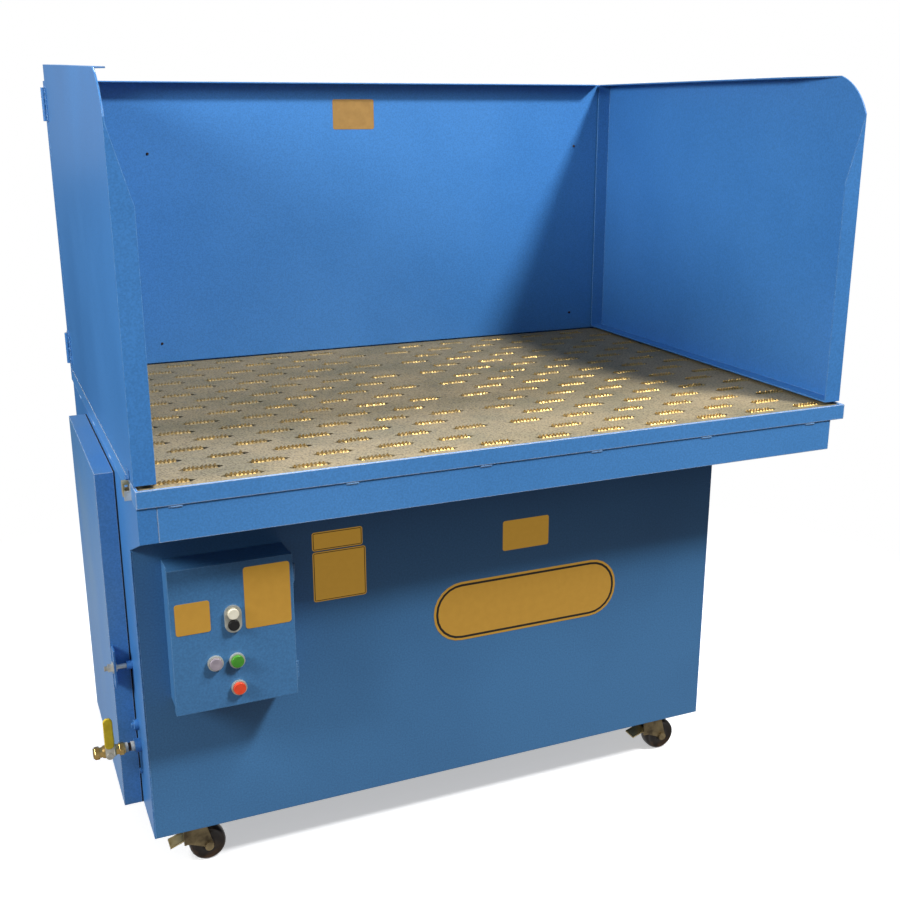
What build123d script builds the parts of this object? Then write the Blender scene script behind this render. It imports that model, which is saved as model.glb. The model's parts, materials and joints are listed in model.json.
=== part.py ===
from build123d import *
import os

# Downdraft work table: a grated table top over an air hopper, a filter and fan
# cabinet on four casters, a back shield and two hinged side shields.
# Millimetres. +X runs along the table, -Y is the front, +Z is up, and the
# origin is on the floor under the middle of the whole, valve and latches included.

# Overall sizes
table_length = 1524.0
table_depth = 1090.0
work_height = 880.0
sheet = 3.0
fit_gap = 0.3
thread_gap = 0.2
running_gap = 0.05
cut_over = 5.0

# Rim round the table top
rim_height = 32.0
rim_wall = 5.0
ledge_width = 38.0
ledge_wall = 4.0

# Hopper pan under the rim
apron_inset = 34.0
apron_set_back = 2.0
apron_height = 66.0
pan_back_inset = 37.0
throat_x_inset = 150.0
throat_end_gap = 42.0
throat_depth = 640.0

# Cabinet
cabinet_length = 1290.0
cabinet_set_back = 146.0
cabinet_back_inset = 40.0
caster_height = 103.0
base_wall = 4.0
gusset_drop = 60.0
return_gap = 0.5
vent_rows = 14
vent_columns = 3
vent_length = 84.0
vent_height = 10.0
vent_pitch_x = 104.0
vent_pitch_z = 30.0
vent_x_inset = 205.0
vent_drop = 18.0

# Work surface: two lift-out gratings with staggered six-sided openings
surface_drop = 3.0
grating_wall = 3.0
grating_gap = 1.5
opening_rows = 16
opening_columns = 6
opening_length = 84.0
opening_width = 16.0
opening_flat = 62.0
first_row_inset = 34.0
last_row_inset = 48.0
bearer_count = 3
bearer_width = 30.0
bearer_height = 40.0
bearer_wall = 4.0

# Shields
shield_height = 690.0
shield_gap = 4.0
shield_flange = 36.0
shield_front_inset = 18.0
shield_rear_gap = 3.0
left_rise = 36.0
clip_depth = 84.0
clip_drop = 77.0
clip_bulge = 9.0
mitre_run = 140.0
mitre_corner = 30.0
back_flange_gap = 6.0

# Butt hinges of the shields and of the access door
hinge_height = 76.0
hinge_leaf = 28.0
hinge_wall = 2.5
knuckle_radius = 5.0
hinge_pin_radius = 3.0
knuckle_gap = 0.3
shield_hinge_low = 57.0
shield_hinge_high_drop = 53.0

# Access door in the left side, with its gasket and clamp
door_inset = 288.0
door_width = 481.0
door_drop = 47.0
door_foot = 1.0
door_thickness = 39.0
door_wall = 2.5
gasket_width = 14.0
gasket_thickness = 3.0
door_lap = 24.0
door_hinge_offset = 7.0
door_hinge_inset = 110.0
clamp_drop = 450.0
tab_height = 82.0
tab_depth = 27.0
tab_wall = 4.0
tab_outset = 33.0
clamp_rod_radius = 5.0
clamp_reach = 14.0
clamp_nut_radius = 9.0
clamp_nut_length = 9.0
clamp_washer_radius = 12.0
clamp_washer_wall = 2.0
clamp_tail = 7.0
lug_radius = 9.0
lug_length = 12.0

# Air fittings on the left side
air_inset = 247.0
air_rise = 159.0
coupling_radius = 14.0
coupling_length = 13.0
pipe_radius = 8.5
pipe_bore = 6.0
nipple_reach = 40.0
valve_length = 62.0
valve_end_radius = 12.0
valve_body_radius = 14.0
valve_body_share = 0.42
valve_lap = 8.0
valve_nose_radius = 8.0
stem_radius = 4.0
stem_reach = 21.0
gland_radius = 7.0
gland_length = 4.0
lever_length = 83.0
lever_tail = 9.0
lever_width = 17.0
lever_wall = 3.0
lever_nut_radius = 6.0
lever_nut_length = 4.0
plug_rise = 197.0
plug_inset = 262.0
plug_radius = 11.0
plug_length = 9.0
plug_square = 9.0
plug_square_length = 5.0
stop_rise = 91.0
stop_radius = 6.0
stop_length = 6.0

# Filter side of the cabinet
plenum_length = 210.0
filter_foot_gap = 8.0
filter_middle_gap = 24.0
filter_head_gap = 48.0
filter_cap_lip = 4.0
filter_media_depth = 54.0
filter_hole_lip = 6.0
filter_cap_wall = 14.0
filter_end_gap = 52.0
yoke_rod_radius = 6.0
yoke_bar_width = 28.0
yoke_bar_wall = 8.0
yoke_bar_length = 200.0
knob_radius = 26.0
knob_length = 18.0
tray_height = 44.0
tray_end_gap = 92.0
tray_width = 380.0
tray_wall = 2.0
tray_x_inset = 60.0

# Fan side of the cabinet
fan_bay_length = 408.0
fan_y = 30.0
inlet_radius = 72.0
inlet_cone_length = 22.0
inlet_cone_flare = 26.0
fan_radius = 190.0
fan_width = 84.0
fan_plate = 3.0
fan_eye_radius = 98.0
fan_gap = 3.0
fan_blades = 9
fan_blade_wall = 3.0
fan_blade_lean = 38.0
fan_hub_radius = 26.0
shaft_radius = 12.0
shaft_length = 60.0
motor_radius = 88.0
motor_length = 210.0
motor_gap = 14.0
motor_nose_radius = 60.0
motor_nose_length = 10.0
motor_fin = 6.0
motor_fins = 24
motor_fin_wall = 4.0
foot_width = 150.0
foot_wall = 6.0
pedestal_length = 150.0
tank_radius = 46.0
tank_gap = 40.0
tank_foot = 66.0
tank_head = 68.0
blow_radius = 12.0
blow_over = 24.0
nozzle_length = 14.0

# Control box on the cabinet front
box_inset = 51.0
box_width = 235.0
box_drop = 182.0
box_height = 293.0
box_depth = 58.0
box_wall = 2.0
box_lid_over = 3.0
lid_depth = 17.0
lid_gap = 0.5
lid_hinge_height = 34.0
lid_hinge_inset = 44.0
lid_knuckle_radius = 4.0
lid_pin_radius = 2.0
lid_pin_offset = 4.5
bezel_radius = 15.0
bezel_bore = 12.3
bezel_length = 6.0
bezel_floor = 1.0
cap_radius = 12.0
cap_length = 6.0
cap_lift = 5.0
cap_stem_radius = 6.0
cap_stem_length = 34.0
bush_radius = 11.0
bush_length = 16.0
hole_gap = 0.25
white_x = 129.0
white_drop = 378.0
green_x = 170.0
green_drop = 380.0
red_x = 171.0
red_drop = 437.0
twin_x = 167.0
twin_drop = 293.0
twin_pitch = 23.0
twin_bezel_width = 32.0
twin_bezel_height = 54.0
twin_cap_radius = 10.6
twin_cap_gap = 0.4
twin_stem_radius = 4.0
twin_bush_radius = 8.0
contactor_width = 70.0
contactor_height = 84.0
contactor_depth = 24.0
rail_width = 150.0
rail_height = 35.0
rail_depth = 4.0
terminal_height = 40.0
terminal_depth = 18.0
contactor_rise = 52.0
terminal_drop = 92.0

# Toggle latches under the front corners of the side shields
latch_inset = 68.0
latch_width = 26.0
latch_plate_height = 30.0
latch_plate_wall = 2.0
latch_ear_depth = 12.0
latch_ear_wall = 2.0
latch_pin_radius = 2.5
latch_pin_rise = 9.0
latch_pin_reach = 8.0
latch_lever_wall = 3.0
latch_eye_radius = 5.0
latch_side_gap = 0.5
keeper_width = 24.0
keeper_height = 16.0
keeper_wall = 2.0
keeper_lip = 7.0
keeper_rise = 2.0

# Casters
caster_inset_x = 93.0
caster_inset_y = 52.0
caster_plate_x = 92.0
caster_plate_y = 68.0
caster_plate_wall = 4.0
caster_race_radius = 26.0
caster_race_height = 10.0
caster_race_gap = 0.3
king_pin_radius = 6.0
yoke_top_radius = 25.0
yoke_wall = 4.0
yoke_plate_width = 30.0
yoke_gap = 2.0
wheel_radius = 38.0
wheel_width = 32.0
wheel_hub_radius = 12.0
wheel_crown = 2.0
trail = 18.0
axle_radius = 5.0
axle_head_radius = 9.0
axle_head_length = 5.0
pedal_length = 34.0
pedal_fall = 12.0
pedal_wall = 3.0
pedal_rise = 18.0
pedal_lead = 26.0
pedal_pin_radius = 3.0
pedal_eye_radius = 5.5
pedal_side_gap = 1.0
shoe_reach = 6.6
shoe_drop = 5.0
ear_reach = 6.0

# Places worked out from the sizes above
reach_left = nipple_reach - valve_lap + valve_length
reach_right = latch_pin_reach + latch_eye_radius
left = (reach_left - reach_right - table_length) / 2
right = left + table_length
front = -table_depth / 2
back = table_depth / 2
rim_low = work_height - rim_height
pan_low = rim_low - apron_height
pan_left = left + apron_inset
pan_right = right - apron_inset
pan_front = front + apron_set_back
pan_back = back - pan_back_inset
cab_right = left + cabinet_length
cab_front = front + cabinet_set_back
cab_back = back - cabinet_back_inset
cab_low = caster_height
inner_left = left + sheet
inner_right = cab_right - sheet
inner_front = cab_front + sheet
inner_back = cab_back - sheet
floor_z = cab_low + base_wall
shield_low = work_height + shield_gap
shield_high = work_height + shield_height
shield_front = front + shield_front_inset
back_sheet_front = back - cabinet_back_inset
shield_rear = back_sheet_front - shield_rear_gap
door_front = front + door_inset
door_rear = door_front + door_width
door_high = work_height - door_drop
door_low = cab_low + door_foot
door_mid_y = (door_front + door_rear) / 2
opening_front = door_front + door_lap
opening_rear = door_rear - door_lap
opening_low = door_low + door_lap
opening_high = pan_low - sheet - door_lap / 2
bulk_x = cab_right - fan_bay_length
tube_x = bulk_x - plenum_length
tray_left = inner_left + tray_x_inset
tray_right = tube_x - tray_end_gap
throat_left = inner_left + throat_x_inset
throat_right = tube_x - throat_end_gap
fan_z = (floor_z + pan_low) / 2
air_y = front + air_inset
air_z = cab_low + air_rise
plug_z = cab_low + plug_rise
stop_z = cab_low + stop_rise
clamp_y = door_front - clamp_reach
clamp_z = work_height - clamp_drop
box_left = left + box_inset
box_right = box_left + box_width
box_high = work_height - box_drop
box_low = box_high - box_height
box_front = cab_front - box_depth
lid_back = box_front - lid_gap
lid_front = lid_back - lid_depth
filter_left = inner_left + filter_end_gap
filter_right = tube_x - fit_gap
filter_foot = floor_z + tray_height + filter_foot_gap
filter_cap_radius = (pan_low - filter_head_gap - filter_middle_gap - filter_foot) / 4
filter_radius = filter_cap_radius - filter_cap_lip
filter_bore = filter_radius - filter_media_depth
filter_hole_radius = filter_bore - filter_hole_lip
filter_z = (filter_foot + filter_cap_radius, pan_low - filter_head_gap - filter_cap_radius)
latch_y = front + latch_inset
ends = {"left": (left, -1), "right": (right, 1)}


def block(xs, ys, zs, mode=Mode.ADD):
    """A rectangle on a level plane, pulled up between two heights."""
    with BuildSketch(Plane.XY.offset(zs[0])) as profile:
        with Locations(((xs[0] + xs[1]) / 2, (ys[0] + ys[1]) / 2)):
            Rectangle(xs[1] - xs[0], ys[1] - ys[0])
    extrude(profile.sketch, amount=zs[1] - zs[0], mode=mode)


def rod(start, direction, radius, length, bore=0, mode=Mode.ADD):
    """A round bar or tube from a point along a direction."""
    with BuildSketch(Plane(origin=start, z_dir=direction)) as profile:
        Circle(radius)
        if bore:
            Circle(bore, mode=Mode.SUBTRACT)
    extrude(profile.sketch, amount=length, mode=mode)


def side_plate(xs, points, mode=Mode.ADD):
    """An outline in Y and Z, pulled along X."""
    with BuildSketch(Plane.YZ.offset(xs[0])) as profile:
        Polygon(*points, align=None)
    extrude(profile.sketch, amount=xs[1] - xs[0], mode=mode)


def front_plate(ys, points, mode=Mode.ADD):
    """An outline in X and Z, pulled along Y."""
    with BuildSketch(Plane.XZ.offset(-ys[1])) as profile:
        Polygon(*points, align=None)
    extrude(profile.sketch, amount=ys[1] - ys[0], mode=mode)


def level_plate(zs, points, mode=Mode.ADD):
    """An outline in X and Y, pulled up."""
    with BuildSketch(Plane.XY.offset(zs[0])) as profile:
        Polygon(*points, align=None)
    extrude(profile.sketch, amount=zs[1] - zs[0], mode=mode)


def save(part, name):
    part.label = name
    export_step(part, f"parts/{name}.step")


def ordered(a, b):
    return (min(a, b), max(a, b))


os.makedirs("parts", exist_ok=True)

# Rim: an angle frame, its upright leg outside and its ledge turned in
with BuildPart() as rim_frame:
    block((left, right), (front, back), (rim_low, work_height))
    block((left + rim_wall, right - rim_wall), (front + rim_wall, back - rim_wall),
          (rim_low + ledge_wall, work_height + cut_over), Mode.SUBTRACT)
    block((left + ledge_width, right - ledge_width), (front + ledge_width, back - ledge_width),
          (rim_low - cut_over, work_height), Mode.SUBTRACT)
save(rim_frame.part, "rim_frame")

# Hopper: front and back aprons, ends between them, and a floor with the throat into the filter side
with BuildPart() as hopper_aprons:
    block((pan_left, pan_right), (pan_front, pan_front + sheet), (pan_low, rim_low))
    block((pan_left, pan_right), (pan_back - sheet, pan_back), (pan_low, rim_low))
save(hopper_aprons.part, "hopper_aprons")

with BuildPart() as hopper_ends:
    block((pan_left, pan_left + sheet), (pan_front + sheet, pan_back - sheet), (pan_low, rim_low))
    block((pan_right - sheet, pan_right), (pan_front + sheet, pan_back - sheet), (pan_low, rim_low))
save(hopper_ends.part, "hopper_ends")

with BuildPart() as hopper_floor:
    block((pan_left + sheet, pan_right - sheet), (pan_front + sheet, pan_back - sheet),
          (pan_low, pan_low + sheet))
    block((throat_left, throat_right), (-throat_depth / 2, throat_depth / 2),
          (pan_low - cut_over, pan_low + sheet + cut_over), Mode.SUBTRACT)
save(hopper_floor.part, "hopper_floor")

# Bearers across the pan, under the gratings
ledge_top = rim_low + ledge_wall
with BuildPart() as grate_bearers:
    bearer_pitch = (pan_right - pan_left) / (bearer_count + 1)
    for index in range(bearer_count):
        middle = pan_left + bearer_pitch * (index + 1)
        half = bearer_width / 2
        low = ledge_top - bearer_height
        front_plate((front + ledge_width, pan_back - sheet),
                    [(middle - half, ledge_top), (middle + half, ledge_top), (middle + half, low),
                     (middle + half - bearer_wall, low),
                     (middle + half - bearer_wall, ledge_top - bearer_wall),
                     (middle - half + bearer_wall, ledge_top - bearer_wall),
                     (middle - half + bearer_wall, low),
                     (middle - half, low)])
save(grate_bearers.part, "grate_bearers")

# Gratings: turned-down edges and rows of six-sided openings, every other row moved by half a pitch
grate_left = left + rim_wall + grating_gap
grate_right = right - rim_wall - grating_gap
grate_front = front + rim_wall + grating_gap
grate_back = back_sheet_front - grating_gap
grate_high = work_height - surface_drop
opening_pitch_x = (grate_right - grate_left) / (2 * opening_columns)
opening_pitch_y = (grate_back - last_row_inset - grate_front - first_row_inset) / (opening_rows - 1)
for index, name in enumerate(["grating_left", "grating_right"]):
    start = grate_left + index * opening_columns * opening_pitch_x
    x_low = start + index * grating_gap / 2
    x_high = start + opening_columns * opening_pitch_x - (1 - index) * grating_gap / 2
    with BuildPart() as grating:
        block((x_low, x_high), (grate_front, grate_back), (ledge_top, grate_high))
        offset(amount=-grating_wall, openings=grating.faces().sort_by(Axis.Z)[0])
        with BuildSketch(Plane.XY.offset(grate_high - grating_wall - cut_over)) as holes:
            spots = []
            for row in range(opening_rows):
                shift = row % 2
                for column in range(opening_columns - shift):
                    spots.append((start + (column + 0.5 + shift / 2) * opening_pitch_x,
                                  grate_front + first_row_inset + row * opening_pitch_y))
            with Locations(spots):
                Polygon((-opening_length / 2, 0), (-opening_flat / 2, opening_width / 2),
                        (opening_flat / 2, opening_width / 2), (opening_length / 2, 0),
                        (opening_flat / 2, -opening_width / 2), (-opening_flat / 2, -opening_width / 2),
                        align=None)
        extrude(holes.sketch, amount=grating_wall + 2 * cut_over, mode=Mode.SUBTRACT)
    save(grating.part, name)

# Cabinet sheets
with BuildPart() as cabinet_base:
    block((inner_left, inner_right), (inner_front, inner_back), (cab_low, floor_z))
save(cabinet_base.part, "cabinet_base")

with BuildPart() as cabinet_front:
    block((inner_left, cab_right), (cab_front, inner_front), (cab_low, pan_low))
save(cabinet_front.part, "cabinet_front")

with BuildPart() as cabinet_right_side:
    block((inner_right, cab_right), (inner_front, inner_back), (cab_low, pan_low))
save(cabinet_right_side.part, "cabinet_right_side")

with BuildPart() as cabinet_back:
    block((inner_left, cab_right), (inner_back, cab_back), (cab_low, pan_low))
    with BuildSketch(Plane.XZ.offset(-cab_back - cut_over)) as vents:
        with Locations((cab_right - vent_x_inset, fan_z - vent_drop)):
            with GridLocations(vent_pitch_x, vent_pitch_z, vent_columns, vent_rows):
                SlotOverall(vent_length, vent_height)
    extrude(vents.sketch, amount=sheet + 2 * cut_over, mode=Mode.SUBTRACT)
save(cabinet_back.part, "cabinet_back")

# Left side: one sheet up to the rim, with the door opening, the gusset under the
# overhang and a return beside the apron
with BuildPart() as cabinet_left_side:
    side_plate((left, inner_left),
               [(cab_front, cab_low), (cab_back, cab_low), (cab_back, rim_low), (pan_front, rim_low),
                (pan_front, pan_low), (cab_front, pan_low - gusset_drop)])
    block((left - cut_over, inner_left + cut_over), (opening_front, opening_rear),
          (opening_low, opening_high),
          Mode.SUBTRACT)
    block((left, pan_left - return_gap), (pan_front, pan_front + sheet), (pan_low, rim_low))
    rod((left - cut_over, air_y, air_z), (1, 0, 0), pipe_radius + thread_gap, sheet + 2 * cut_over,
        mode=Mode.SUBTRACT)
save(cabinet_left_side.part, "cabinet_left_side")

# Back shield: a sheet with returns behind it and a lip forward along its top
lip_end = sheet + shield_flange + back_flange_gap
with BuildPart() as back_shield:
    block((left, right), (back_sheet_front, back_sheet_front + sheet), (work_height, shield_high))
    for x_pair in ((left, inner_left), (right - sheet, right)):
        block(x_pair, (back_sheet_front, back), (work_height, shield_high))
    block((left, right), (back_sheet_front, back), (work_height, work_height + sheet))
    level_plate((shield_high - sheet, shield_high),
                [(left + lip_end, back_sheet_front), (right - lip_end, back_sheet_front),
                 (right - lip_end - mitre_corner, back_sheet_front - shield_flange),
                 (left + lip_end + mitre_corner, back_sheet_front - shield_flange)])
save(back_shield.part, "back_shield")

# Side shields: a sheet with a bowed clip at its top front corner and flanges turned in on every edge.
# The left one's top edge rises towards the back.
clip_top_y = shield_front + clip_depth
clip_low_z = shield_high - clip_drop
for name, (outer, side) in ends.items():
    rear_high = shield_high + (left_rise if name == "left" else 0)
    inner = outer - side * sheet
    reach = outer - side * (sheet + shield_flange)
    with BuildPart() as wing:
        with BuildSketch(Plane.YZ.offset(min(outer, inner))) as outline:
            with BuildLine():
                Polyline((shield_front, clip_low_z), (shield_front, shield_low),
                         (shield_rear, shield_low),
                         (shield_rear, rear_high), (clip_top_y, shield_high))
                ThreePointArc((clip_top_y, shield_high),
                              ((clip_top_y + shield_front) / 2 - clip_bulge,
                               (shield_high + clip_low_z) / 2 + clip_bulge),
                              (shield_front, clip_low_z))
            make_face()
        extrude(outline.sketch, amount=sheet)
        front_plate((shield_front, shield_front + sheet),
                    [(outer, shield_low), (reach, shield_low), (reach, clip_low_z - mitre_run),
                     (outer, clip_low_z)])
        side_plate(ordered(inner, reach),
                   [(clip_top_y, shield_high), (shield_rear, rear_high),
                    (shield_rear, rear_high - sheet), (clip_top_y, shield_high - sheet)])
        level_plate((shield_high - 2 * sheet, rear_high + cut_over),
                    [(inner, clip_top_y - sheet), (reach - side * cut_over, clip_top_y - sheet),
                     (reach - side * cut_over, clip_top_y + mitre_run), (reach, clip_top_y + mitre_run),
                     (inner, clip_top_y)], Mode.SUBTRACT)
        level_plate((shield_low, shield_low + sheet),
                    [(outer, shield_front), (reach, shield_front), (reach, shield_rear),
                     (outer, shield_rear)])
        block(ordered(outer, reach), (shield_rear - sheet, shield_rear),
              (shield_low, rear_high - sheet))
    save(wing.part, f"{name}_wing")

# Shield hinges: the fixed leaves and pins on the back shield, the others on the wings.
# A knuckle runs over a third of the height, the middle one on the fixed leaf.
shield_pin_y = back_sheet_front - shield_rear_gap / 2
shield_hinge_z = (work_height + shield_hinge_low, shield_high - shield_hinge_high_drop)
third = hinge_height / 3


def shield_leaf(face, side, middle_z, toward, knuckles):
    """One leaf flat on the outside face, with its knuckles round the pin."""
    leaf_x = ordered(face, face + side * hinge_wall)
    leaf_y = ordered(shield_pin_y + toward * knuckle_gap, shield_pin_y + toward * hinge_leaf)
    low = middle_z - hinge_height / 2
    pin_x = face + side * knuckle_radius
    block(leaf_x, leaf_y, (low, low + hinge_height))
    for number in range(3):
        piece_low = low + number * third
        if number in knuckles:
            rod((pin_x, shield_pin_y, piece_low + knuckle_gap / 2), (0, 0, 1), knuckle_radius,
                third - knuckle_gap,
                bore=hinge_pin_radius + running_gap)
        else:
            block(ordered(face, face + side * 2 * knuckle_radius + side * knuckle_gap),
                  (shield_pin_y - knuckle_radius - knuckle_gap,
                   shield_pin_y + knuckle_radius + knuckle_gap),
                  (piece_low - knuckle_gap / 2, piece_low + third + knuckle_gap / 2), Mode.SUBTRACT)
    rod((pin_x, shield_pin_y, low - cut_over), (0, 0, 1), hinge_pin_radius + running_gap,
        hinge_height + 2 * cut_over,
        mode=Mode.SUBTRACT)


with BuildPart() as shield_hinges_fixed:
    for face, side in ends.values():
        for middle_z in shield_hinge_z:
            shield_leaf(face, side, middle_z, 1, (1,))
    for face, side in ends.values():
        for middle_z in shield_hinge_z:
            rod((face + side * knuckle_radius, shield_pin_y, middle_z - hinge_height / 2), (0, 0, 1),
                hinge_pin_radius, hinge_height)
save(shield_hinges_fixed.part, "shield_hinges_fixed")

# Wing hardware: the moving hinge leaves and the keeper of the toggle latch
for name, (face, side) in ends.items():
    with BuildPart() as wing_hardware:
        for middle_z in shield_hinge_z:
            shield_leaf(face, side, middle_z, -1, (0, 2))
        keeper_low = shield_low + keeper_rise
        front_plate((latch_y - keeper_width / 2, latch_y + keeper_width / 2),
                    [(face, keeper_low), (face, keeper_low + keeper_height),
                     (face + side * keeper_wall, keeper_low + keeper_height),
                     (face + side * keeper_wall, keeper_low + keeper_wall),
                     (face + side * keeper_lip, keeper_low + keeper_wall),
                     (face + side * keeper_lip, keeper_low)])
    save(wing_hardware.part, f"{name}_wing_hardware")

# Toggle latches: a plate with two ears on the rim's end, and a lever with a claw
with BuildPart() as latch_plates:
    for face, side in ends.values():
        pin_x = face + side * latch_pin_reach
        block(ordered(face, face + side * latch_plate_wall),
              (latch_y - latch_width / 2, latch_y + latch_width / 2),
              (rim_low + fit_gap, rim_low + latch_plate_height))
        for edge in (-1, 1):
            outer_y = latch_y + edge * latch_width / 2
            inner_y = outer_y - edge * latch_ear_wall
            block(ordered(face, face + side * latch_ear_depth), ordered(outer_y, inner_y),
                  (rim_low + fit_gap, rim_low + latch_pin_rise * 2))
        rod((pin_x, latch_y - latch_width / 2, rim_low + latch_pin_rise), (0, 1, 0), latch_pin_radius,
            latch_width)
save(latch_plates.part, "latch_plates")

latch_half = latch_width / 2 - latch_ear_wall - latch_side_gap
for name, (face, side) in ends.items():
    pin_x = face + side * latch_pin_reach
    pin_z = rim_low + latch_pin_rise
    lever_out = pin_x + side * latch_eye_radius
    lever_in = lever_out - side * latch_lever_wall
    claw_x = face + side * (latch_plate_wall + fit_gap)
    with BuildPart() as latch_lever:
        rod((pin_x, latch_y - latch_half, pin_z), (0, 1, 0), latch_eye_radius, 2 * latch_half)
        front_plate((latch_y - latch_half, latch_y + latch_half),
                    [(lever_in, pin_z), (lever_out, pin_z), (lever_out, work_height),
                     (claw_x, work_height),
                     (claw_x, work_height - latch_lever_wall),
                     (lever_in, work_height - latch_lever_wall)])
        rod((pin_x, latch_y - latch_width, pin_z), (0, 1, 0), latch_pin_radius + running_gap,
            2 * latch_width,
            mode=Mode.SUBTRACT)
    save(latch_lever.part, f"latch_lever_{name}")

# Access door: a shallow pan over the opening, its gasket, hinges and clamp
door_x_in = left - gasket_thickness
door_x_out = left - door_thickness
with BuildPart() as access_door:
    block((door_x_out, door_x_in), (door_front, door_rear), (door_low, door_high))
    offset(amount=-door_wall, openings=access_door.faces().sort_by(Axis.X)[-1])
save(access_door.part, "access_door")

with BuildPart() as door_gasket:
    block((door_x_in, left - fit_gap), (door_front, door_rear), (door_low, door_high))
    block((door_x_in - cut_over, left), (door_front + gasket_width, door_rear - gasket_width),
          (door_low + gasket_width, door_high - gasket_width), Mode.SUBTRACT)
save(door_gasket.part, "door_gasket")

door_pin_x = left - knuckle_radius
door_pin_y = door_rear + door_hinge_offset
door_hinge_z = (door_low + door_hinge_inset, door_high - door_hinge_inset)


def door_knuckles(middle_z, numbers):
    low = middle_z - hinge_height / 2
    for number in range(3):
        piece_low = low + number * third
        if number in numbers:
            rod((door_pin_x, door_pin_y, piece_low + knuckle_gap / 2), (0, 0, 1), knuckle_radius,
                third - knuckle_gap)
        else:
            block((door_pin_x - knuckle_radius - knuckle_gap, left),
                  (door_pin_y - knuckle_radius - knuckle_gap, door_pin_y + knuckle_radius + knuckle_gap),
                  (piece_low - knuckle_gap / 2, piece_low + third + knuckle_gap / 2), Mode.SUBTRACT)
    rod((door_pin_x, door_pin_y, low - cut_over), (0, 0, 1), hinge_pin_radius + running_gap,
        hinge_height + 2 * cut_over, mode=Mode.SUBTRACT)


with BuildPart() as door_hinges_fixed:
    for middle_z in door_hinge_z:
        block((left - hinge_wall, left), (door_pin_y, door_pin_y + hinge_leaf),
              (middle_z - hinge_height / 2, middle_z + hinge_height / 2))
        door_knuckles(middle_z, (1,))
    for middle_z in door_hinge_z:
        rod((door_pin_x, door_pin_y, middle_z - hinge_height / 2), (0, 0, 1), hinge_pin_radius,
            hinge_height)
save(door_hinges_fixed.part, "door_hinges_fixed")

tab_out = left - tab_outset
with BuildPart() as door_hardware:
    for middle_z in door_hinge_z:
        block((door_pin_x - hinge_leaf, door_pin_x), (door_rear, door_rear + hinge_wall),
              (middle_z - hinge_height / 2, middle_z + hinge_height / 2))
        door_knuckles(middle_z, (0, 2))
    block((tab_out - tab_wall, tab_out), (door_front - tab_depth, door_front),
          (clamp_z - tab_height / 2, clamp_z + tab_height / 2))
    rod((tab_out - tab_wall - cut_over, clamp_y, clamp_z), (1, 0, 0), clamp_rod_radius + running_gap,
        tab_wall + 2 * cut_over, mode=Mode.SUBTRACT)
save(door_hardware.part, "door_hardware")

# Clamp screw: rod, washer and nut outside the tab, and a thin collar inside it
screw_x = tab_out - tab_wall - fit_gap
with BuildPart() as clamp_screw:
    rod((left - lug_length - fit_gap, clamp_y, clamp_z), (-1, 0, 0), clamp_rod_radius,
        left - lug_length - fit_gap - screw_x + clamp_washer_wall + clamp_nut_length + clamp_tail)
    rod((screw_x, clamp_y, clamp_z), (-1, 0, 0), clamp_washer_radius, clamp_washer_wall)
    with BuildSketch(Plane(origin=(screw_x - clamp_washer_wall, clamp_y, clamp_z),
                           z_dir=(-1, 0, 0))) as nut:
        RegularPolygon(clamp_nut_radius, 6)
    extrude(nut.sketch, amount=clamp_nut_length)
    rod((tab_out + fit_gap, clamp_y, clamp_z), (1, 0, 0), clamp_nut_radius, clamp_washer_wall)
save(clamp_screw.part, "clamp_screw")

# Welded fittings on the left side: clamp lug, half coupling, plugged boss and door stop
plug_y = front + plug_inset
with BuildPart() as welded_fittings:
    rod((left, clamp_y, clamp_z), (-1, 0, 0), lug_radius, lug_length)
    rod((left, air_y, air_z), (-1, 0, 0), coupling_radius, coupling_length, bore=pipe_radius + thread_gap)
    rod((left, plug_y, plug_z), (-1, 0, 0), plug_radius, plug_length)
    with BuildSketch(Plane(origin=(left - plug_length, plug_y, plug_z), z_dir=(-1, 0, 0))) as square:
        Rectangle(plug_square, plug_square)
    extrude(square.sketch, amount=plug_square_length)
    rod((left, plug_y, stop_z), (-1, 0, 0), stop_radius, stop_length)
save(welded_fittings.part, "welded_fittings")

# Air pipe from the valve, through the left side and the tube sheet, to the tank
tank_x = tube_x + sheet + tank_gap + tank_radius
with BuildPart() as air_pipe:
    rod((left - nipple_reach, air_y, air_z), (1, 0, 0), pipe_radius,
        tank_x - tank_radius - left + nipple_reach, bore=pipe_bore)
save(air_pipe.part, "air_pipe")

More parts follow.
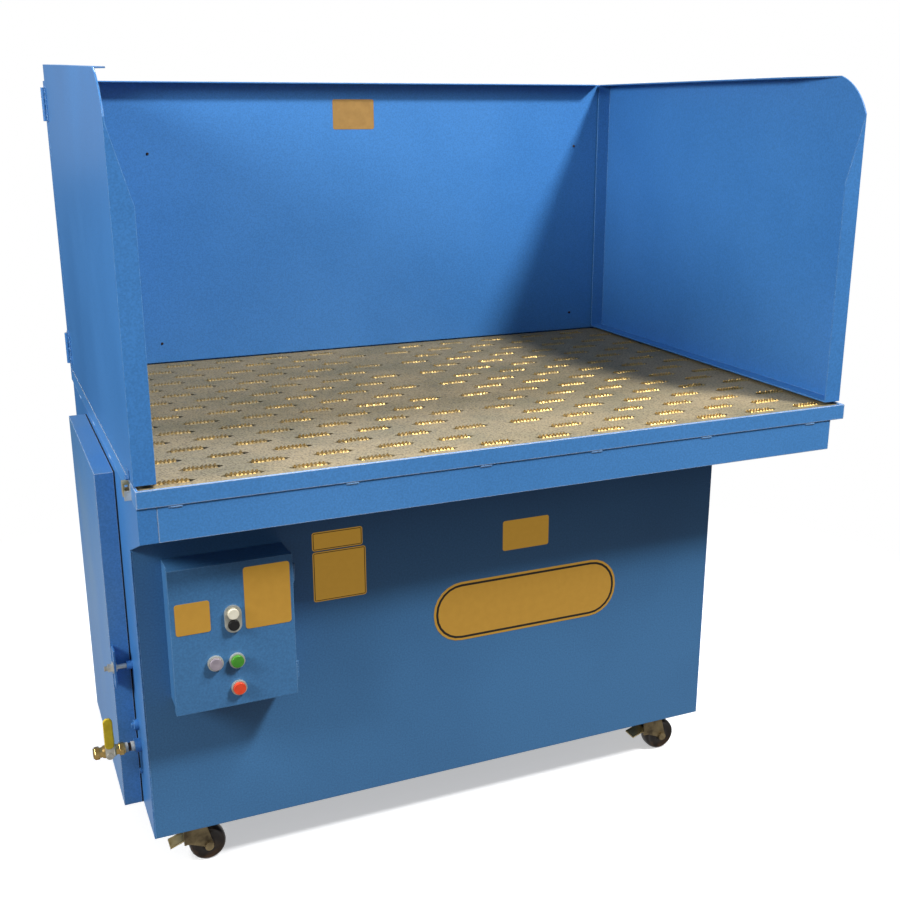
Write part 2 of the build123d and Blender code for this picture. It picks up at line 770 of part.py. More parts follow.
# Ball valve: a turned body with hexagon ends, its stem gland toward the front
valve_in = left - nipple_reach + valve_lap
valve_mid = valve_in - valve_length / 2
valve_core = valve_length * valve_body_share
with BuildPart() as valve_body:
    with BuildSketch(Plane(origin=(valve_in, air_y, air_z), z_dir=(-1, 0, 0))) as hexagon:
        RegularPolygon(valve_end_radius, 6)
    extrude(hexagon.sketch, amount=valve_length)
    with BuildSketch(Plane.XZ.offset(-air_y)) as bulb:
        with BuildLine():
            Polyline((valve_mid + valve_core / 2, air_z), (valve_mid - valve_core / 2, air_z),
                     (valve_mid - valve_core / 2, air_z + valve_end_radius))
            ThreePointArc((valve_mid - valve_core / 2, air_z + valve_end_radius),
                          (valve_mid, air_z + valve_body_radius),
                          (valve_mid + valve_core / 2, air_z + valve_end_radius))
            Line((valve_mid + valve_core / 2, air_z + valve_end_radius),
                 (valve_mid + valve_core / 2, air_z))
        make_face()
    revolve(bulb.sketch, axis=Axis((valve_mid, air_y, air_z), (1, 0, 0)))
    rod((valve_mid, air_y, air_z), (0, -1, 0), gland_radius, stem_reach - gland_length)
    rod((valve_mid, air_y - stem_reach - cut_over, air_z), (0, 1, 0), stem_radius + running_gap,
        cut_over + stem_reach - gland_length * 2, mode=Mode.SUBTRACT)
    rod((valve_in + cut_over, air_y, air_z), (-1, 0, 0), pipe_radius + thread_gap, valve_lap + cut_over,
        mode=Mode.SUBTRACT)
    rod((valve_in - valve_length - cut_over, air_y, air_z), (1, 0, 0), valve_nose_radius,
        valve_lap + cut_over,
        mode=Mode.SUBTRACT)
save(valve_body.part, "valve_body")

lever_y = air_y - stem_reach + gland_length - fit_gap - lever_wall
with BuildPart() as valve_handle:
    with BuildSketch(Plane.XZ.offset(-lever_y)) as strip:
        with Locations((valve_mid, air_z + (lever_length - lever_tail) / 2)):
            RectangleRounded(lever_width, lever_length + lever_tail, lever_width / 2 - fit_gap)
    extrude(strip.sketch, amount=-lever_wall)
    rod((valve_mid, lever_y - lever_nut_length, air_z), (0, 1, 0), stem_radius,
        lever_nut_length + lever_wall + gland_length)
    with BuildSketch(Plane.XZ.offset(-lever_y)) as nut:
        with Locations((valve_mid, air_z)):
            RegularPolygon(lever_nut_radius, 6)
    extrude(nut.sketch, amount=lever_nut_length)
save(valve_handle.part, "valve_handle")

# Filter side: tube sheet, two cartridges on yoke rods and the dust tray
with BuildPart() as tube_sheet:
    block((tube_x, tube_x + sheet), (inner_front, inner_back), (floor_z, pan_low))
    for middle_z in filter_z:
        rod((tube_x - cut_over, door_mid_y, middle_z), (1, 0, 0), filter_hole_radius,
            sheet + 2 * cut_over,
            mode=Mode.SUBTRACT)
    rod((tube_x - cut_over, air_y, air_z), (1, 0, 0), pipe_radius + thread_gap, sheet + 2 * cut_over,
        mode=Mode.SUBTRACT)
save(tube_sheet.part, "tube_sheet")

for name, middle_z in zip(["filter_lower", "filter_upper"], filter_z):
    with BuildPart() as cartridge:
        length = filter_right - filter_left
        rod((filter_left, door_mid_y, middle_z), (1, 0, 0), filter_radius, length, bore=filter_bore)
        rod((filter_left, door_mid_y, middle_z), (1, 0, 0), filter_cap_radius, filter_cap_wall,
            bore=yoke_rod_radius + thread_gap)
        rod((filter_right, door_mid_y, middle_z), (-1, 0, 0), filter_cap_radius, filter_cap_wall,
            bore=filter_bore)
    save(cartridge.part, name)

with BuildPart() as filter_yokes:
    for middle_z in filter_z:
        rod((tube_x + sheet, door_mid_y, middle_z), (-1, 0, 0), yoke_rod_radius,
            tube_x + sheet - filter_left + fit_gap + knob_length)
        rod((filter_left - fit_gap, door_mid_y, middle_z), (-1, 0, 0), knob_radius, knob_length)
        block((tube_x + sheet, tube_x + sheet + yoke_bar_wall),
              (door_mid_y - yoke_bar_length / 2, door_mid_y + yoke_bar_length / 2),
              (middle_z - yoke_bar_width / 2, middle_z + yoke_bar_width / 2))
save(filter_yokes.part, "filter_yokes")

with BuildPart() as dust_tray:
    block((tray_left, tray_right), (door_mid_y - tray_width / 2, door_mid_y + tray_width / 2),
          (floor_z, floor_z + tray_height))
    offset(amount=-tray_wall, openings=dust_tray.faces().sort_by(Axis.Z)[-1])
save(dust_tray.part, "dust_tray")

# Pulse tank with a blow pipe and nozzle in front of each cartridge
tank_low_z = floor_z + tank_foot
with BuildPart() as pulse_tank:
    rod((tank_x, air_y, tank_low_z), (0, 0, 1), tank_radius, pan_low - tank_head - tank_low_z)
    rod((tank_x, air_y, floor_z), (0, 0, 1), tank_radius / 2, tank_low_z - floor_z)
    for middle_z in filter_z:
        rod((tank_x, air_y, middle_z), (0, 1, 0), blow_radius, door_mid_y - air_y + blow_over)
        rod((tank_x, door_mid_y, middle_z), (-1, 0, 0), blow_radius / 2, blow_radius + nozzle_length)
save(pulse_tank.part, "pulse_tank")

# Fan bulkhead with its inlet cone
with BuildPart() as fan_bulkhead:
    block((bulk_x, bulk_x + sheet), (inner_front, inner_back), (floor_z, pan_low))
    rod((bulk_x - cut_over, fan_y, fan_z), (1, 0, 0), inlet_radius, sheet + 2 * cut_over,
        mode=Mode.SUBTRACT)
    with BuildSketch(Plane.XY.offset(fan_z)) as cone:
        Polygon((bulk_x, fan_y + inlet_radius + inlet_cone_flare),
                (bulk_x - inlet_cone_flare / 2, fan_y + inlet_radius + inlet_cone_flare),
                (bulk_x, fan_y + inlet_radius), (bulk_x + inlet_cone_length, fan_y + inlet_radius),
                (bulk_x + inlet_cone_length, fan_y + inlet_radius + sheet),
                (bulk_x + sheet, fan_y + inlet_radius + sheet), align=None)
    revolve(cone.sketch, axis=Axis((bulk_x, fan_y, fan_z), (1, 0, 0)))
save(fan_bulkhead.part, "fan_bulkhead")

# Fan wheel: an eye ring and a back plate with leaning blades between them, on its shaft
fan_x = bulk_x + inlet_cone_length + fan_gap
fan_end = fan_x + fan_width
motor_x = fan_end + motor_gap
with BuildPart() as fan_wheel:
    rod((fan_x, fan_y, fan_z), (1, 0, 0), fan_radius, fan_plate, bore=fan_eye_radius)
    rod((fan_end - fan_plate, fan_y, fan_z), (1, 0, 0), fan_radius, fan_plate)
    rod((fan_end - fan_plate, fan_y, fan_z), (-1, 0, 0), fan_hub_radius, fan_width / 2)
    rod((fan_end - fan_plate, fan_y, fan_z), (1, 0, 0), shaft_radius,
        fan_plate + motor_gap + shaft_length)
    with BuildSketch(Plane(origin=(fan_x + fan_plate / 2, fan_y, fan_z), x_dir=(0, 1, 0),
                           z_dir=(1, 0, 0))) as blades:
        with PolarLocations(0, fan_blades):
            with Locations(Location(((fan_eye_radius + fan_radius) / 2, 0), fan_blade_lean)):
                Rectangle(fan_radius - fan_eye_radius, fan_blade_wall)
    extrude(blades.sketch, amount=fan_width - fan_plate)
save(fan_wheel.part, "fan_wheel")

# Motor with cooling fins, on a folded pedestal
with BuildPart() as blower_motor:
    rod((motor_x, fan_y, fan_z), (1, 0, 0), motor_nose_radius, motor_nose_length)
    rod((motor_x + motor_nose_length, fan_y, fan_z), (1, 0, 0), motor_radius - motor_fin, motor_length)
    with BuildSketch(Plane(origin=(motor_x + motor_nose_length * 2, fan_y, fan_z), x_dir=(0, 1, 0),
                           z_dir=(1, 0, 0))) as fins:
        with PolarLocations(motor_radius - motor_fin, motor_fins):
            Rectangle(2 * motor_fin, motor_fin_wall)
    extrude(fins.sketch, amount=motor_length - motor_nose_length * 4)
    rod((motor_x - cut_over, fan_y, fan_z), (1, 0, 0), shaft_radius + running_gap,
        cut_over + shaft_length + sheet,
        mode=Mode.SUBTRACT)
    pedestal_x = motor_x + motor_nose_length * 3
    foot_half = foot_width / 2
    side_plate((pedestal_x, pedestal_x + pedestal_length),
               [(fan_y - foot_half, floor_z), (fan_y - foot_half, fan_z),
                (fan_y - foot_half + foot_wall, fan_z),
                (fan_y - foot_half + foot_wall, floor_z + foot_wall),
                (fan_y + foot_half - foot_wall, floor_z + foot_wall),
                (fan_y + foot_half - foot_wall, fan_z), (fan_y + foot_half, fan_z),
                (fan_y + foot_half, floor_z)])
save(blower_motor.part, "blower_motor")

# Control box, its lid hinged on the right, and what the lid carries
lid_pin_x = box_right + lid_pin_offset
lid_pin_y = lid_back
lid_hinge_z = (box_low + lid_hinge_inset, box_high - lid_hinge_inset)
lid_third = lid_hinge_height / 3


def lid_leaf(middle_z, ys, numbers):
    """A lid hinge leaf beside the box or the lid, with its knuckles."""
    low = middle_z - lid_hinge_height / 2
    block((box_right, box_right + box_wall), ys, (low, low + lid_hinge_height))
    for number in range(3):
        piece_low = low + number * lid_third
        if number in numbers:
            rod((lid_pin_x, lid_pin_y, piece_low + knuckle_gap / 2), (0, 0, 1), lid_knuckle_radius,
                lid_third - knuckle_gap)
        else:
            block((box_right, lid_pin_x + lid_knuckle_radius + knuckle_gap),
                  (lid_pin_y - lid_knuckle_radius - knuckle_gap,
                   lid_pin_y + lid_knuckle_radius + knuckle_gap),
                  (piece_low - knuckle_gap / 2, piece_low + lid_third + knuckle_gap / 2), Mode.SUBTRACT)
    rod((lid_pin_x, lid_pin_y, low - cut_over), (0, 0, 1), lid_pin_radius + running_gap,
        lid_hinge_height + 2 * cut_over, mode=Mode.SUBTRACT)


with BuildPart() as control_box:
    block((box_left + box_lid_over, box_right), (box_front, cab_front),
          (box_low + box_lid_over, box_high - box_lid_over))
    offset(amount=-box_wall, openings=control_box.faces().sort_by(Axis.Y)[0])
    for middle_z in lid_hinge_z:
        lid_leaf(middle_z, (box_front, box_front + hinge_leaf / 2), (1,))
    for middle_z in lid_hinge_z:
        rod((lid_pin_x, lid_pin_y, middle_z - lid_hinge_height / 2), (0, 0, 1), lid_pin_radius,
            lid_hinge_height)
save(control_box.part, "control_box")

buttons = {
    "button_white": (left + white_x, work_height - white_drop),
    "button_green": (left + green_x, work_height - green_drop),
    "button_red": (left + red_x, work_height - red_drop),
}
twin_z = work_height - twin_drop
twins = {
    "twin_button_white": (left + twin_x, twin_z + twin_pitch / 2),
    "twin_button_black": (left + twin_x, twin_z - twin_pitch / 2),
}
with BuildPart() as control_lid:
    block((box_left, box_right), (lid_front, lid_back), (box_low, box_high))
    offset(amount=-box_wall, openings=control_lid.faces().sort_by(Axis.Y)[-1])
    for middle_z in lid_hinge_z:
        lid_leaf(middle_z, (lid_front + box_wall, lid_back), (0, 2))
    for x, z in buttons.values():
        rod((x, lid_front - cut_over, z), (0, 1, 0), bush_radius + hole_gap, box_wall + 2 * cut_over,
            mode=Mode.SUBTRACT)
    for x, z in twins.values():
        rod((x, lid_front - cut_over, z), (0, 1, 0), twin_bush_radius + hole_gap, box_wall + 2 * cut_over,
            mode=Mode.SUBTRACT)
save(control_lid.part, "control_lid")

# Bezels and bushes of the buttons, screwed through the lid
with BuildPart() as button_bezels:
    for x, z in buttons.values():
        rod((x, lid_front, z), (0, -1, 0), bezel_radius, bezel_length)
        rod((x, lid_front - bezel_length - cut_over, z), (0, 1, 0), bezel_bore,
            bezel_length + cut_over - bezel_floor, mode=Mode.SUBTRACT)
        rod((x, lid_front, z), (0, 1, 0), bush_radius, bush_length)
        rod((x, lid_front - bezel_length, z), (0, 1, 0), cap_stem_radius + running_gap,
            bezel_length + bush_length + cut_over, mode=Mode.SUBTRACT)
    with BuildSketch(Plane.XZ.offset(-lid_front)) as stadium:
        with Locations((left + twin_x, twin_z)):
            RectangleRounded(twin_bezel_width, twin_bezel_height, twin_bezel_width / 2 - fit_gap)
    extrude(stadium.sketch, amount=bezel_length)
    for x, z in twins.values():
        rod((x, lid_front - bezel_length - cut_over, z), (0, 1, 0), twin_cap_radius + twin_cap_gap,
            bezel_length + cut_over - bezel_floor, mode=Mode.SUBTRACT)
        rod((x, lid_front, z), (0, 1, 0), twin_bush_radius, bush_length)
        rod((x, lid_front - bezel_length, z), (0, 1, 0), twin_stem_radius + running_gap,
            bezel_length + bush_length + cut_over, mode=Mode.SUBTRACT)
save(button_bezels.part, "button_bezels")

for name, (x, z) in {**buttons, **twins}.items():
    twin = name in twins
    head = twin_cap_radius if twin else cap_radius
    stem = twin_stem_radius if twin else cap_stem_radius
    with BuildPart() as button:
        rod((x, lid_front - cap_lift, z), (0, -1, 0), head, cap_length)
        fillet(button.edges().sort_by(Axis.Y)[0], radius=bezel_floor)
        rod((x, lid_front - cap_lift, z), (0, 1, 0), stem, cap_stem_length)
    save(button.part, name)

# Rail, contactor and terminals in the box
box_mid_x = (box_left + box_right) / 2
box_mid_z = (box_low + box_high) / 2
rail_back = cab_front - box_wall
with BuildPart() as control_gear:
    for rise, width, height, depth in ((contactor_rise, contactor_width, contactor_height,
                                        contactor_depth),
                                       (-terminal_drop, rail_width, terminal_height, terminal_depth)):
        middle = box_mid_z + rise
        block((box_mid_x - rail_width / 2, box_mid_x + rail_width / 2),
              (rail_back - rail_depth, rail_back),
              (middle - rail_height / 2, middle + rail_height / 2))
        block((box_mid_x - width / 2, box_mid_x + width / 2),
              (rail_back - rail_depth - depth, rail_back - rail_depth),
              (middle - height / 2, middle + height / 2))
save(control_gear.part, "control_gear")

# Casters: plates under the base, then a yoke with its axle, a wheel and, in front, a brake pedal
spots = {
    "front_left": (left + caster_inset_x, cab_front + caster_inset_y),
    "front_right": (cab_right - caster_inset_x, cab_front + caster_inset_y),
    "rear_left": (left + caster_inset_x, cab_back - caster_inset_y),
    "rear_right": (cab_right - caster_inset_x, cab_back - caster_inset_y),
}
race_low = cab_low - caster_plate_wall - caster_race_height
yoke_high = race_low - caster_race_gap
with BuildPart() as caster_plates:
    for x, y in spots.values():
        block((x - caster_plate_x / 2, x + caster_plate_x / 2),
              (y - caster_plate_y / 2, y + caster_plate_y / 2),
              (cab_low - caster_plate_wall, cab_low))
        rod((x, y, race_low), (0, 0, 1), caster_race_radius, caster_race_height)
        rod((x, y, yoke_high - yoke_wall - caster_race_gap), (0, 0, 1), king_pin_radius,
            cab_low - yoke_high + yoke_wall)
        rod((x, y, yoke_high - yoke_wall - caster_race_gap), (0, 0, -1),
            king_pin_radius + king_pin_radius / 2,
            caster_race_gap + sheet)
save(caster_plates.part, "caster_plates")

yoke_inside = wheel_width / 2 + yoke_gap
yoke_outside = yoke_inside + yoke_wall
for name, (x, y) in spots.items():
    axle_x = x + trail
    pin_x = x - pedal_lead
    pin_z = wheel_radius + pedal_rise
    braked = name.startswith("front")
    with BuildPart() as yoke:
        rod((x, y, yoke_high), (0, 0, -1), yoke_top_radius, yoke_wall, bore=king_pin_radius + running_gap)
        ear = [(pin_x - ear_reach, yoke_high), (pin_x - ear_reach, pin_z - ear_reach),
               (pin_x + ear_reach, pin_z - ear_reach)]
        cheek = [(x + yoke_plate_width / 2, yoke_high), (axle_x + yoke_plate_width / 3, wheel_radius),
                 (axle_x + yoke_plate_width / 6, wheel_radius - axle_head_radius),
                 (axle_x - yoke_plate_width / 6, wheel_radius - axle_head_radius),
                 (axle_x - yoke_plate_width / 3, wheel_radius)]
        if braked:
            cheek += reversed(ear)
        else:
            cheek += [(x - yoke_plate_width / 2, yoke_high)]
        for edge in (-1, 1):
            face_y = y + edge * yoke_outside
            front_plate(ordered(face_y, face_y - edge * yoke_wall), cheek)
            block((x - yoke_plate_width / 2, x + yoke_plate_width / 2),
                  ordered(face_y, y + edge * yoke_top_radius / 2),
                  (yoke_high - yoke_wall, yoke_high))
        rod((axle_x, y - yoke_outside, wheel_radius), (0, 1, 0), axle_radius, 2 * yoke_outside)
        for edge in (-1, 1):
            rod((axle_x, y + edge * yoke_outside, wheel_radius), (0, edge, 0), axle_head_radius,
                axle_head_length)
        if braked:
            rod((pin_x, y - yoke_outside, pin_z), (0, 1, 0), pedal_pin_radius, 2 * yoke_outside)
    save(yoke.part, f"caster_yoke_{name}")

    with BuildPart() as wheel:
        with BuildSketch(Plane.YZ.offset(axle_x)) as section:
            with Locations((y, wheel_radius)):
                Polygon((-wheel_width / 2, axle_radius + running_gap),
                        (-wheel_width / 2, wheel_hub_radius),
                        (-wheel_width / 2 + wheel_crown, wheel_hub_radius + wheel_crown),
                        (-wheel_width / 2 + wheel_crown, wheel_radius - 2 * wheel_crown),
                        (-wheel_width / 2 + 2 * wheel_crown, wheel_radius),
                        (wheel_width / 2 - 2 * wheel_crown, wheel_radius),
                        (wheel_width / 2 - wheel_crown, wheel_radius - 2 * wheel_crown),
                        (wheel_width / 2 - wheel_crown, wheel_hub_radius + wheel_crown),
                        (wheel_width / 2, wheel_hub_radius), (wheel_width / 2, axle_radius + running_gap),
                        align=None)
        revolve(section.sketch, axis=Axis((axle_x, y, wheel_radius), (0, 1, 0)))
    save(wheel.part, f"caster_wheel_{name}")

    if braked:
        half = yoke_inside - pedal_side_gap
        with BuildPart() as pedal:
            rod((pin_x, y - half, pin_z), (0, 1, 0), pedal_eye_radius, 2 * half)
            front_plate((y - half, y + half),
                        [(pin_x + shoe_reach, pin_z - shoe_drop), (pin_x + shoe_reach, pin_z),
                         (pin_x, pin_z + pedal_eye_radius),
                         (pin_x - pedal_length, pin_z + pedal_eye_radius - pedal_fall),
                         (pin_x - pedal_length, pin_z + pedal_eye_radius - pedal_fall - pedal_wall),
                         (pin_x, pin_z + pedal_eye_radius - pedal_wall)])
            rod((pin_x, y - yoke_outside, pin_z), (0, 1, 0), pedal_pin_radius + running_gap,
                2 * yoke_outside,
                mode=Mode.SUBTRACT)
        save(pedal.part, f"brake_pedal_{name}")

print("parts written")
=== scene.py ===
import json
import math

import bmesh
import bpy
from mathutils import Matrix, Vector, noise


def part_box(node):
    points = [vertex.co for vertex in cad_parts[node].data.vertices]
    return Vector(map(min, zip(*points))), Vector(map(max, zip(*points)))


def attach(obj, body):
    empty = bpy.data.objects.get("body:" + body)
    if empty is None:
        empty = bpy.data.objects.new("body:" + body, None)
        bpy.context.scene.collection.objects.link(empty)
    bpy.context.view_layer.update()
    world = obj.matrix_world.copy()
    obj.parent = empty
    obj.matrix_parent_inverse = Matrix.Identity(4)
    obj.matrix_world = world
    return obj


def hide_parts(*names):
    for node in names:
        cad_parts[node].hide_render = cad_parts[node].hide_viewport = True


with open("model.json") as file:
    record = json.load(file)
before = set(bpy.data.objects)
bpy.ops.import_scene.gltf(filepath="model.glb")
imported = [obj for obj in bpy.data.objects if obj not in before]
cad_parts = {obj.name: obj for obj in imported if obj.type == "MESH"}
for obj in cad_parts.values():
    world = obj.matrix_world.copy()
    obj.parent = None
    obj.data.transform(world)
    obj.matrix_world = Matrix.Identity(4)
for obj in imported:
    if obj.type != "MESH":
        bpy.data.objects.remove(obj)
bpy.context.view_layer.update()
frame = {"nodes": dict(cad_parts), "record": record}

# Downdraft work table in sprayed blue enamel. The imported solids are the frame; this
# script gives them their finishes and adds the welds, serrated lips, plates, tape,
# screws, pleats and the other small pieces. Metres, in the part's own frame.

node_body = {name: body for body, names in frame["record"]["behaviour"]["bodies"].items() for name in names}
node_slot = {entry["node"]: entry["material_slot"] for entry in frame["record"]["subparts"]}
caster_corners = ("front_left", "front_right", "rear_left", "rear_right")
mm = 0.001

# The part's six directions, as it faces the front
rightward, backward, upward = (1, 0, 0), (0, 1, 0), (0, 0, 1)
leftward, frontward, downward = (-1, 0, 0), (0, -1, 0), (0, 0, -1)

# Camera, at the photograph's viewing angle: its place in metres and its angles in degrees
camera_place = (-0.9534, -2.4556, 1.4998)
camera_turn, camera_dip, camera_roll = -23.06, 16.45, -0.12
camera = bpy.data.objects.new("camera", bpy.data.cameras.new("camera"))
bpy.context.scene.collection.objects.link(camera)
camera.data.sensor_width = 36
camera.data.lens = 45.9
camera.data.clip_end = 60
camera.matrix_world = (Matrix.Translation(camera_place)
                       @ Matrix.Rotation(math.radians(camera_turn), 4, "Z")
                       @ Matrix.Rotation(math.radians(90 - camera_dip), 4, "X")
                       @ Matrix.Rotation(math.radians(camera_roll), 4, "Z"))
bpy.context.scene.camera = camera
bpy.context.scene.view_settings.view_transform = "Standard"


# Finishes
def linear(code):
    """An sRGB hex value such as 4482C6, as linear red, green, blue and one."""
    parts = [int(code[i:i + 2], 16) / 255 for i in (0, 2, 4)]
    return [p / 12.92 if p <= 0.04045 else ((p + 0.055) / 1.055) ** 2.4 for p in parts] + [1]


def add_node(tree, kind, inputs=None, stops=(), **settings):
    """Adds a node, sets its settings and a ramp's colour stops, and sets or links its inputs."""
    made = tree.nodes.new(f"ShaderNode{kind}")
    for key, value in settings.items():
        setattr(made, key, value)
    for key, value in (inputs or {}).items():
        if isinstance(value, bpy.types.NodeSocket):
            tree.links.new(value, made.inputs[key])
        else:
            made.inputs[key].default_value = value
    for i, (position, code) in enumerate(stops):
        made.color_ramp.elements[i].position = position
        made.color_ramp.elements[i].color = linear(code)
    return made


# A Mix node's colour sockets share their names with its other sockets, so they go by their numbers
under, over, mixed = 6, 7, 2


def new_finish(name):
    """An empty material, its node tree and the object's own coordinates in metres."""
    finish = bpy.data.materials.new(name)
    finish.use_nodes = True
    finish.node_tree.nodes.clear()
    place = add_node(finish.node_tree, "TexCoord").outputs["Object"]
    return finish, finish.node_tree, place


def close_finish(finish, shader):
    """Joins the last shader to the material's surface."""
    output = add_node(finish.node_tree, "OutputMaterial")
    finish.node_tree.links.new(shader.outputs[0], output.inputs["Surface"])
    return finish


def sharp_edges(tree, radius):
    """Near 1 where the surface turns a sharp edge, 0 on flats, from normals rounded over that radius."""
    rounded_over = add_node(tree, "Bevel", {"Radius": radius}, samples=4)
    plain = add_node(tree, "NewGeometry")
    likeness = add_node(tree, "VectorMath", {0: rounded_over.outputs["Normal"], 1: plain.outputs["Normal"]},
                        operation="DOT_PRODUCT")
    return add_node(tree, "MapRange", {"Value": likeness.outputs["Value"],
                                       "From Min": 0.99, "From Max": 0.80}).outputs["Result"]


def sprayed_enamel(name, flat, thin, edge, edge_width=1.6 * mm, rubbed=0.0):
    """Alkyd enamel sprayed on sheet steel. An orange peel breaks up its gloss, its shade drifts a little
    along a sheet, and its sharp edges turn paler in chips: partly wear through to the pale undercoat,
    partly a painted edge highlight. Rubbed, from 0 to 1, says how much of an edge turns pale in chips.
    Dust caught in the coat speckles it: the specks are drawn coarser than real ones so that they show."""
    drift_size, speck_size, chip_size, peel_size = 320 * mm, 3.5 * mm, 9 * mm, 3 * mm
    rounding, peel_height = 1.6 * mm, 0.4 * mm
    more_chips = 0.2 * rubbed
    finish, tree, place = new_finish(name)
    drift = add_node(tree, "TexNoise", {"Vector": place, "Scale": 1 / drift_size,
                                        "Detail": 3}).outputs["Fac"]
    shade = add_node(tree, "ValToRGB", {"Fac": drift}, stops=((0.32, thin), (0.60, flat)))
    dust = add_node(tree, "TexNoise", {"Vector": place, "Scale": 1 / speck_size, "Detail": 3})
    specks = add_node(tree, "ValToRGB", {"Fac": dust.outputs["Fac"]},
                      stops=((0.35, "D0D0D0"), (0.65, "FFFFFF")))
    coat = add_node(tree, "Mix", {"Factor": 0.5, under: shade.outputs["Color"],
                                  over: specks.outputs["Color"]}, data_type="RGBA", blend_type="MULTIPLY")
    # Pale chips along sharp edges: a painted edge highlight as well as wear through the coat
    edges = sharp_edges(tree, edge_width)
    flakes = add_node(tree, "TexNoise", {"Vector": place, "Scale": 1 / chip_size, "Detail": 5})
    chips = add_node(tree, "MapRange", {"Value": flakes.outputs["Fac"],
                                        "From Min": 0.30 - more_chips, "From Max": 0.60 - more_chips})
    worn_and_lit_edges = add_node(tree, "Math", {0: edges, 1: chips.outputs["Result"]}, operation="MULTIPLY")
    colour = add_node(tree, "Mix", {"Factor": worn_and_lit_edges.outputs["Value"], under: coat.outputs[mixed],
                                    over: linear(edge)}, data_type="RGBA")
    soft_edge = add_node(tree, "Bevel", {"Radius": rounding}, samples=4)
    peel = add_node(tree, "TexNoise", {"Vector": place, "Scale": 1 / peel_size, "Detail": 1})
    bump = add_node(tree, "Bump", {"Height": peel.outputs["Fac"], "Strength": 0.10, "Distance": peel_height,
                                   "Normal": soft_edge.outputs["Normal"]})
    gloss = add_node(tree, "MapRange", {"Value": drift, "To Min": 0.30, "To Max": 0.42})
    shader = add_node(tree, "BsdfPrincipled",
                      {"Base Color": colour.outputs[mixed], "Roughness": gloss.outputs["Result"], "IOR": 1.5,
                       "Normal": bump.outputs["Normal"]})
    return close_finish(finish, shader)


def worked_metal(name, light, dark, roughness, metallic=1.0, grit=0.8 * mm):
    """Machined, plated or galvanised metal: stained in clouds, brighter where its edges are rubbed, and
    scratched. The scratches are as far apart as the grit, which is coarser than real so that it shows."""
    stain_size, edge_width, scratch_height = 26 * mm, 0.6 * mm, 0.2 * mm
    smoother, rougher = 0.08, 0.12
    finish, tree, place = new_finish(name)
    stain = add_node(tree, "TexNoise", {"Vector": place, "Scale": 1 / stain_size,
                                        "Detail": 5}).outputs["Fac"]
    edges = sharp_edges(tree, edge_width)
    shade = add_node(tree, "ValToRGB", {"Fac": stain}, stops=((0.34, dark), (0.6, light)))
    colour = add_node(tree, "Mix", {"Factor": edges, under: shade.outputs["Color"], over: linear(light)},
                      data_type="RGBA")
    scratch = add_node(tree, "TexNoise", {"Vector": place, "Scale": 1 / grit, "Detail": 3})
    bump = add_node(tree, "Bump", {"Height": scratch.outputs["Fac"], "Strength": 0.06,
                                   "Distance": scratch_height})
    rough = add_node(tree, "MapRange", {"Value": stain, "To Min": roughness - smoother,
                                        "To Max": roughness + rougher})
    shader = add_node(tree, "BsdfPrincipled",
                      {"Base Color": colour.outputs[mixed], "Metallic": metallic,
                       "Roughness": rough.outputs["Result"], "Normal": bump.outputs["Normal"]})
    return close_finish(finish, shader)


def dusty_plate(name, light, dark):
    """Galvanised plate dulled by grinding dust: a grey-tan film that thickens in patches, with dark and
    pale grit in it. The grit is drawn coarser than real so that it shows."""
    patch_size, grit_size, grit_height = 150 * mm, 4 * mm, 0.4 * mm
    finish, tree, place = new_finish(name)
    patches = add_node(tree, "TexNoise", {"Vector": place, "Scale": 1 / patch_size, "Detail": 4})
    film = add_node(tree, "ValToRGB", {"Fac": patches.outputs["Fac"]}, stops=((0.35, dark), (0.65, light)))
    grit = add_node(tree, "TexNoise", {"Vector": place, "Scale": 1 / grit_size,
                                       "Detail": 4}).outputs["Fac"]
    specks = add_node(tree, "ValToRGB", {"Fac": grit}, stops=((0.36, "8E857A"), (0.54, "FFFFFF")))
    bump = add_node(tree, "Bump", {"Height": grit, "Strength": 0.3, "Distance": grit_height})
    colour = add_node(tree, "Mix", {"Factor": 0.75, under: film.outputs["Color"],
                                    over: specks.outputs["Color"]}, data_type="RGBA", blend_type="MULTIPLY")
    shader = add_node(tree, "BsdfPrincipled", {"Base Color": colour.outputs[mixed], "Metallic": 0.12,
                                               "Roughness": 0.7, "Normal": bump.outputs["Normal"]})
    return close_finish(finish, shader)


